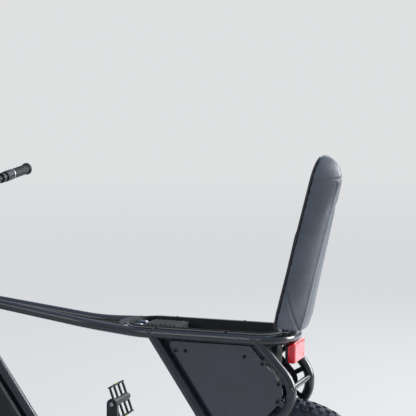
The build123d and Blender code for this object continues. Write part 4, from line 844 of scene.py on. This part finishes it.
def tyre(axle_x):
    """The casing with its knobs, as one drawing."""
    drawn = bmesh.new()
    # outer skin, then back inside it
    section = []
    for degrees in range(-136, 137, 8):
        edge = min(1.0, max(0.0, (TREAD_EDGE_DEGREES + 4 - abs(degrees)) / 8))
        rib = 0.9 if abs(degrees) in (112, 120) else 0.0
        section.append((degrees, 0.4 + (TREAD_DEPTH_MM - 0.4) * edge - rib))
    for degrees in range(136, -137, -17):
        section.append((degrees, TREAD_DEPTH_MM + 4.0))
    rings = []
    for step in range(TURN_STEPS):
        turned_by = 2 * math.pi * step / TURN_STEPS
        places = [on_tyre(axle_x, degrees, turned_by, depth) for degrees, depth in section]
        rings.append([drawn.verts.new(place) for place in places])
    ring_faces(drawn, rings, closed=True)
    for degrees, shift, length, width in KNOB_ROWS:
        for pitch in range(PITCHES):
            middle = 2 * math.pi * (pitch + shift) / PITCHES
            layers = []
            for depth, spread in ((TREAD_DEPTH_MM + 1.0, 1.0), (1.1, 0.0), (0.0, -1.1)):
                half_turn = (length / 2 + spread) / (TYRE_MIDDLE_MM + TYRE_HALF_HEIGHT_MM)
                half_lean = math.degrees((width / 2 + spread) / TYRE_HALF_HEIGHT_MM)
                layer = []
                for a, b in ((-1, -1), (1, -1), (1, 1), (-1, 1)):
                    place = on_tyre(axle_x, degrees + a * half_lean, middle + b * half_turn, depth)
                    layer.append(drawn.verts.new(place))
                layers.append(layer)
            ring_faces(drawn, layers)
    return drawn


tyre_rubber, shader = new_finish("dusty_tyre_rubber", 0.62)
uneven_colour(shader, RUBBER_BLACK, RUBBER_DUSTY, 28.0)
uneven_gloss(shader, 0.52, 0.75, 20.0)
grain(shader, 1.3, 0.08)
for wheel, axle_x in (("front", WHEELBASE_MM), ("rear", 0.0)):
    body = f"{wheel}_wheel"
    shown_tyre = made(f"{wheel}_tyre_knobbed", tyre(axle_x), body, tyre_rubber, 45.0)
    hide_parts(f"{wheel}_tyre")

spoke_wire, shader = new_finish("black_spoke_wire", 0.3, 0.7)
uneven_colour(shader, "#1c1d20", "#2b2d31", 10.0)
wear(spoke_wire, "front_spokes", "rear_spokes")

# the valve's foot and stem, then its cap
valve = ((4.6, -1.0), (4.6, 1.5), (2.8, 3.0), (2.8, 24.0), (3.4, 24.5), (3.4, 34.0), (2.2, 36.0))
VALVE_TURN = math.radians(65.0)
VALVE_FROM_AXLE_MM = 189.0
toward_hub = Vector((math.cos(VALVE_TURN), 0.0, math.sin(VALVE_TURN)))
for wheel, axle_x in (("front", WHEELBASE_MM), ("rear", 0.0)):
    foot = Vector((axle_x, 0.0, AXLE_HEIGHT_MM)) - toward_hub * VALVE_FROM_AXLE_MM
    screws(f"{wheel}_valve", f"{wheel}_wheel", seal_rubber, valve, [(foot, toward_hub)])


LEFT, RIGHT = (0.0, 1.0, 0.0), (0.0, -1.0, 0.0)


def round_axle(axle_x, radius, count, y, direction, turned_by=0.0):
    """Places of fasteners spaced evenly round a wheel's axle."""
    places = []
    for index in range(count):
        angle = turned_by + 2 * math.pi * index / count
        spot = (axle_x + radius * math.cos(angle), y, AXLE_HEIGHT_MM + radius * math.sin(angle))
        places.append((spot, direction))
    return places


motor_places = round_axle(0.0, 80.0, 12, 48.5, LEFT) + round_axle(0.0, 80.0, 12, -48.5, RIGHT)
rear_disc_places = round_axle(0.0, 21.5, 6, 73.0, LEFT, 0.3)
front_disc_places = round_axle(WHEELBASE_MM, 21.5, 6, 55.0, LEFT, 0.3)
for name, wheel, radius, places in (
    ("motor_screws", "rear_wheel", 4.4, motor_places),
    ("rear_disc_screws", "rear_wheel", 3.6, rear_disc_places),
    ("front_disc_screws", "front_wheel", 3.6, front_disc_places),
):
    screws(name, wheel, oxide_steel, button_head(radius), places)
# name, axle, how far out, across flats, height
for wheel, axle_x, aside, across_flats, height in (
    ("rear", 0.0, 94.5, 18.0, 8.5),
    ("front", WHEELBASE_MM, 84.0, 15.0, 6.5),
):
    nut_places = sideways([(axle_x, AXLE_HEIGHT_MM)], aside)
    nut = hex_nut(across_flats, height)
    screws(f"{wheel}_axle_nuts", f"{wheel}_wheel", bright_steel, nut, nut_places)

# Drive: forged crank arms, a chain of pressed plates on pins and rollers that holds a film of dark
# oil, and cage pedals with amber-green reflectors let into their ends.
CRANK_X, CRANK_Z, CRANK_REACH = 578.0, 338.0, 170.0
CHAIN_Y = -74.0
LINKS = 122
LINK_PLATE_MM = 1.0
FRONT_PITCH_MM, REAR_PITCH_MM = 89.01, 32.55

oiled_steel, shader = new_finish("oiled_chain_steel", 0.3, 0.9)
uneven_colour(shader, "#3a3630", "#6f6a62", 7.0)
uneven_gloss(shader, 0.22, 0.42, 5.0)
wear(oiled_steel, "freewheel")

centre_run = Vector((-CRANK_X, 0.0, AXLE_HEIGHT_MM - CRANK_Z))
lean = math.asin((FRONT_PITCH_MM - REAR_PITCH_MM) / centre_run.length)
slant = math.atan2(centre_run.z, -centre_run.x)
straight = centre_run.length * math.cos(lean)
front_arc = FRONT_PITCH_MM * (math.pi + 2 * lean)
rear_arc = REAR_PITCH_MM * (math.pi - 2 * lean)
loop = 2 * straight + front_arc + rear_arc


def on_rear(angle):
    """Place on the freewheel's pitch circle in the side view."""
    return Vector((REAR_PITCH_MM * math.cos(angle), AXLE_HEIGHT_MM + REAR_PITCH_MM * math.sin(angle)))


def on_front(angle):
    """Place on the chainring's pitch circle in the side view."""
    return Vector((CRANK_X + FRONT_PITCH_MM * math.cos(angle), CRANK_Z + FRONT_PITCH_MM * math.sin(angle)))


def on_chain(run):
    """Place on the chain's pitch line in the side view, so far along it from the top of the freewheel."""
    run %= loop
    high = math.pi / 2 + slant + lean
    low = high - front_arc / FRONT_PITCH_MM
    if run < straight:
        return on_rear(high).lerp(on_front(high), run / straight)
    run -= straight
    if run < front_arc:
        return on_front(high - run / FRONT_PITCH_MM)
    run -= front_arc
    if run < straight:
        return on_front(low).lerp(on_rear(low), run / straight)
    return on_rear(low - (run - straight) / REAR_PITCH_MM)


def link_outline(length):
    """Side view of a chain plate: two round ends and a narrower waist."""
    points = []
    for end in (1, -1):
        for step in range(7):
            angle = math.radians(-105 + 35 * step)
            points.append((end * (length / 2 + 4.2 * math.cos(angle)), end * 4.2 * math.sin(angle)))
        points.append((0.0, end * 3.1))
    return points


pin_rows = ((1.5, 0.0), (1.8, 0.3), (1.8, 8.3), (1.5, 8.6))
roller_rows = ((2.7, 0.0), (2.7, 3.6))
links = bmesh.new()
step_length = loop / LINKS
plate_shape = link_outline(step_length)
for index in range(LINKS):
    first, second = on_chain(index * step_length), on_chain((index + 1) * step_length)
    middle = (first + second) / 2
    along = Vector((second.x - first.x, 0.0, second.y - first.y)).normalized()
    inner_face = 1.9 if index % 2 else 2.95
    for side in (1, -1):
        spot = at(middle.x, CHAIN_Y + side * inner_face, middle.y)
        plate(links, plate_shape, spot, along, ASIDE * side, LINK_PLATE_MM, 0.2)
    turn(links, pin_rows, at(first.x, CHAIN_Y - 4.3, first.y), ASIDE, 8)
    turn(links, roller_rows, at(first.x, CHAIN_Y - 1.8, first.y), ASIDE, 12)
roller_chain = made("roller_chain", links, "frame", oiled_steel)
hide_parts("chain")

crank_bolts = sideways([(CRANK_X, CRANK_Z)], 97.6)
screws("crank_bolts", "crank", oxide_steel, button_head(9.0), crank_bolts)
BOLT_CIRCLE_MM, RING_FACE_Y = 58.0, -75.2
ring_places = []
for index in range(5):
    angle = 2 * math.pi * index / 5
    along, down = BOLT_CIRCLE_MM * math.cos(angle), BOLT_CIRCLE_MM * math.sin(angle)
    ring_places.append(((CRANK_X + along, RING_FACE_Y, CRANK_Z - down), RIGHT))
screws("chainring_bolts", "crank", bright_steel, button_head(4.6), ring_places)

reflex_green, shader = new_finish("amber_green_reflector", 0.12)
uneven_colour(shader, "#8f9b1e", "#c9d63a", 4.0)
prisms(shader, 1.8, 0.3)
set_sockets(shader, {"Coat Weight": 0.8})
PEDAL_LEAN = math.radians(70.0)
PEDAL_ASIDE = 156.0
PEDAL_HALF_LENGTH = 50.9
PEDAL_HALF_WIDTH = 52.0
ARM_FACE = 83.6
cap_rows = ((9.4, -0.5), (9.4, 2.0), (7.5, 3.4), (4.0, 3.8))
pedal_ahead = Vector((math.cos(PEDAL_LEAN), 0.0, math.sin(PEDAL_LEAN)))
for side, name in ((1, "pedal_left"), (-1, "pedal_right")):
    centre = at(CRANK_X, side * PEDAL_ASIDE, CRANK_Z - side * CRANK_REACH)
    reflectors = bmesh.new()
    for end in (1, -1):
        outward = pedal_ahead * end
        middle = centre + outward * PEDAL_HALF_LENGTH / 1000
        plate(reflectors, rounded(30, 6, 1.5), middle, ASIDE * end, outward, 1.4)
    made(f"{name}_reflectors", reflectors, name, reflex_green)
    eye = bmesh.new()
    turn(eye, button_head(7.4), at(CRANK_X, side * ARM_FACE, CRANK_Z - side * CRANK_REACH), ASIDE * -side, 24)
    made(f"{name}_spindle_end", eye, "crank", bright_steel)
    cap = bmesh.new()
    turn(cap, cap_rows, centre + ASIDE * side * PEDAL_HALF_WIDTH / 1000, ASIDE * side, 24)
    made(f"{name}_dust_cap", cap, name, moulded_black)

# Steering: suspension fork with dark polished stanchions, threadless headset, a four-bolt stem and a
# riser bar. Everything here is placed along the steering axis, which leans back twenty degrees.
STEER_LEAN = math.radians(70.0)
FORTH = Vector((math.sin(STEER_LEAN), 0.0, math.cos(STEER_LEAN)))
ALONG = Vector((-math.cos(STEER_LEAN), 0.0, math.sin(STEER_LEAN)))
head_middle = at(*head_place)


def on_steering(forward, aside, above):
    """A place so far ahead of the steering axis, to the left and up along it, in millimetres."""
    return head_middle + (FORTH * forward + ASIDE * aside + ALONG * above) / 1000


def steering_height(place):
    """How far up the steering axis a place lies from the head tube's middle, in millimetres."""
    return (place - head_middle).dot(ALONG) * 1000


dark_chrome, shader = new_finish("dark_polished_stanchion", 0.1, 1.0)
uneven_colour(shader, "#3c3d40", "#4a4b4f", 30.0)
wear_partly(dark_chrome, "fork_upper", lambda place, normal: steering_height(place) < -123.0)

EDGE_MM = 1.2
fittings = bmesh.new()
# forward, aside, above, radius, height
for forward, aside, above, radius, height in (
    (0, 0, 85.2, 18.6, 6.4),
    (0, 0, 132.0, 17.5, 7.0),
    (12, 80, -84.5, 15.0, 7.0),
    (12, -80, -84.5, 15.0, 4.0),
):
    rows = ((radius, 0), (radius, height - EDGE_MM), (radius - EDGE_MM, height), (radius - 6, height + 0.2))
    turn(fittings, rows, on_steering(forward, aside, above), ALONG, 32)
made("headset_rings_and_leg_caps", fittings, "steering", black_alloy)

bolts = bmesh.new()
turn(bolts, button_head(6.0), on_steering(0, 0, 139.0), ALONG, 24)
for aside in (-17, 17):
    for above in (100, 124):
        turn(bolts, button_head(3.6), on_steering(68.6, aside, above), FORTH, 20)
for above in (102, 122):
    turn(bolts, button_head(3.6), on_steering(-14.5, 13.4, above), ASIDE, 20)
made("stem_bolts", bolts, "steering", oxide_steel)

# Grips: rubber sleeves moulded with a diamond knurl over a hard core, an end flange, and a bright
# clamp ring with a black collar inboard of it.
grip_rubber, shader = new_finish("grip_rubber", 0.58)
uneven_colour(shader, "#131416", "#212327", 14.0)
grain(shader, 0.8, 0.04)
GRIP_ASIDE = 340.0
GRIP_END_X, GRIP_END_Z = 976.98, 1193.06
GRIP_SWEEP, GRIP_DROOP = math.radians(7.0), math.radians(7.5)
SLEEVE_MM = 88.4
KNURL_RAISED_MM, KNURL_SUNK_MM = 0.8, 0.2
knurl_start, knurl_step, knurl_count = 12.0, 1.6, 47
flange_rows = [(15.0, 0.2), (18.2, 0.2), (19.0, 1.2), (19.0, 5.2), (17.6, 6.0), (17.6, 9.6), (15.0, 10.6)]
knurl_rows = [(14.9, knurl_start + knurl_step * index) for index in range(knurl_count)]
rubber_rows = flange_rows + knurl_rows + [(15.2, SLEEVE_MM)]
ring_rows = ((14.8, SLEEVE_MM), (16.4, SLEEVE_MM), (16.8, 89.0), (16.8, 92.8), (16.4, 93.5))
collar_rows = ((15.0, 93.5), (15.0, 97.6), (16.6, 97.8), (17.0, 99.0), (17.0, 129.0), (16.2, 130.0))
rubber, rings_bright, collars = bmesh.new(), bmesh.new(), bmesh.new()
for side in (1, -1):
    outer = at(GRIP_END_X, side * GRIP_ASIDE, GRIP_END_Z)
    inboard = Vector((math.tan(GRIP_SWEEP), -side, -math.tan(GRIP_DROOP))).normalized()
    turned_rings = turn(rubber, rubber_rows, outer, inboard, 48)
    for index, ring in enumerate(turned_rings[len(flange_rows) : -1]):
        for step, vertex in enumerate(ring):
            spoke = vertex.co - outer
            spoke -= inboard * spoke.dot(inboard)
            raised = (index // 2 + step // 2) % 2 == 0
            vertex.co += spoke.normalized() * (KNURL_RAISED_MM if raised else -KNURL_SUNK_MM) / 1000
    turn(rings_bright, ring_rows, outer, inboard, 40)
    turn(collars, collar_rows, outer, inboard, 40)
grips = made("knurled_grips", rubber, "steering", grip_rubber, 30.0)
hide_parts("grips")
made("grip_clamp_rings", rings_bright, "steering", bright_steel)
made("grip_collars", collars, "steering", black_alloy)

# Headlight: an ABS shell round a vacuum-plated reflector with three emitters behind a clear lens.
# Display: a gloss black pane over a liquid crystal, in the same shell plastic.
LIGHT_ABOVE = -62

plated, shader = new_finish("plated_reflector", 0.08, 1.0)
uneven_colour(shader, "#c9cbce", "#dfe1e3", 6.0)
cellular(shader, 5.0, 0.5, 0.6)


def in_headlight(place, normal):
    """Whether a face belongs to the reflector at the bottom of the shell."""
    offset = place - on_steering(52, 0, LIGHT_ABOVE)
    ahead = offset.dot(FORTH)
    return normal.dot(FORTH) > 0.9 and 0.040 < ahead < 0.046 and (offset - FORTH * ahead).length < 0.037


wear_partly(plated, "headlight", in_headlight)
emitter_rows = ((12.5, 0.0), (12.5, 3.0), (11.4, 3.0), (8.0, 1.6), (4.0, 0.9))
emitters = bmesh.new()
for index in range(3):
    angle = math.radians(90 + 120 * index)
    spot = on_steering(94.6, 16 * math.cos(angle), LIGHT_ABOVE + 16 * math.sin(angle))
    turn(emitters, emitter_rows, spot, FORTH, 32)
made("headlight_emitters", emitters, "steering", plated)

clear_lens, shader = new_finish("clear_polycarbonate", 0.03)
set_sockets(shader, {"Base Color": linear("#f4f6f8"), "Transmission Weight": 0.95, "IOR": 1.45})
lens_rows = ((35.6, 98.6), (35.6, 100.4), (30.0, 101.8), (20.0, 103.0), (8.0, 103.6))
glass = bmesh.new()
turn(glass, lens_rows, on_steering(0, 0, LIGHT_ABOVE), FORTH, 48)
made("headlight_lens", glass, "steering", clear_lens)

pane, shader = new_finish("gloss_black_pane", 0.06)
uneven_colour(shader, "#08090b", "#0d1013", 30.0)
set_sockets(shader, {"Coat Weight": 1.0, "Coat Roughness": 0.03})
DISPLAY_TILT = math.radians(8.0)
pane_right = (FORTH * math.cos(DISPLAY_TILT) - ALONG * math.sin(DISPLAY_TILT)).normalized()
pane_out = (FORTH * math.sin(DISPLAY_TILT) + ALONG * math.cos(DISPLAY_TILT)).normalized()
screen = bmesh.new()
plate(screen, rounded(37, 56, 4), on_steering(51, 0, 148) + pane_out * 0.006, pane_right, pane_out, 0.8)
made("display_pane", screen, "steering", pane)

# Controller case: a finned aluminium casting, sand-blasted and coated matt black, screwed together
# along its lower edge.
case_coat, shader = new_finish("blasted_case_coating", 0.55, 0.2)
uneven_colour(shader, "#141516", "#1f2022", 26.0)
cellular(shader, 0.9, 0.05, 0.8)
wear(case_coat, "controller_case")

# Stand: steel legs on sleeves with rubber shoes, and hexagon heads on the pivot that spreads them.
shoe_rubber, shader = new_finish("stand_shoe_rubber", 0.7)
uneven_colour(shader, "#16171a", "#2a2b2e", 9.0)
grain(shader, 1.2, 0.08)
SHOE_MM = 10.1
wear_partly(shoe_rubber, "centre_stand", lambda place, normal: place.z * 1000 < SHOE_MM)
pivot_places = sideways([(430.0, 215.0)], 46.8)
screws("stand_pivot_nuts", "frame", bright_steel, hex_nut(13.0, 6.0), pivot_places)
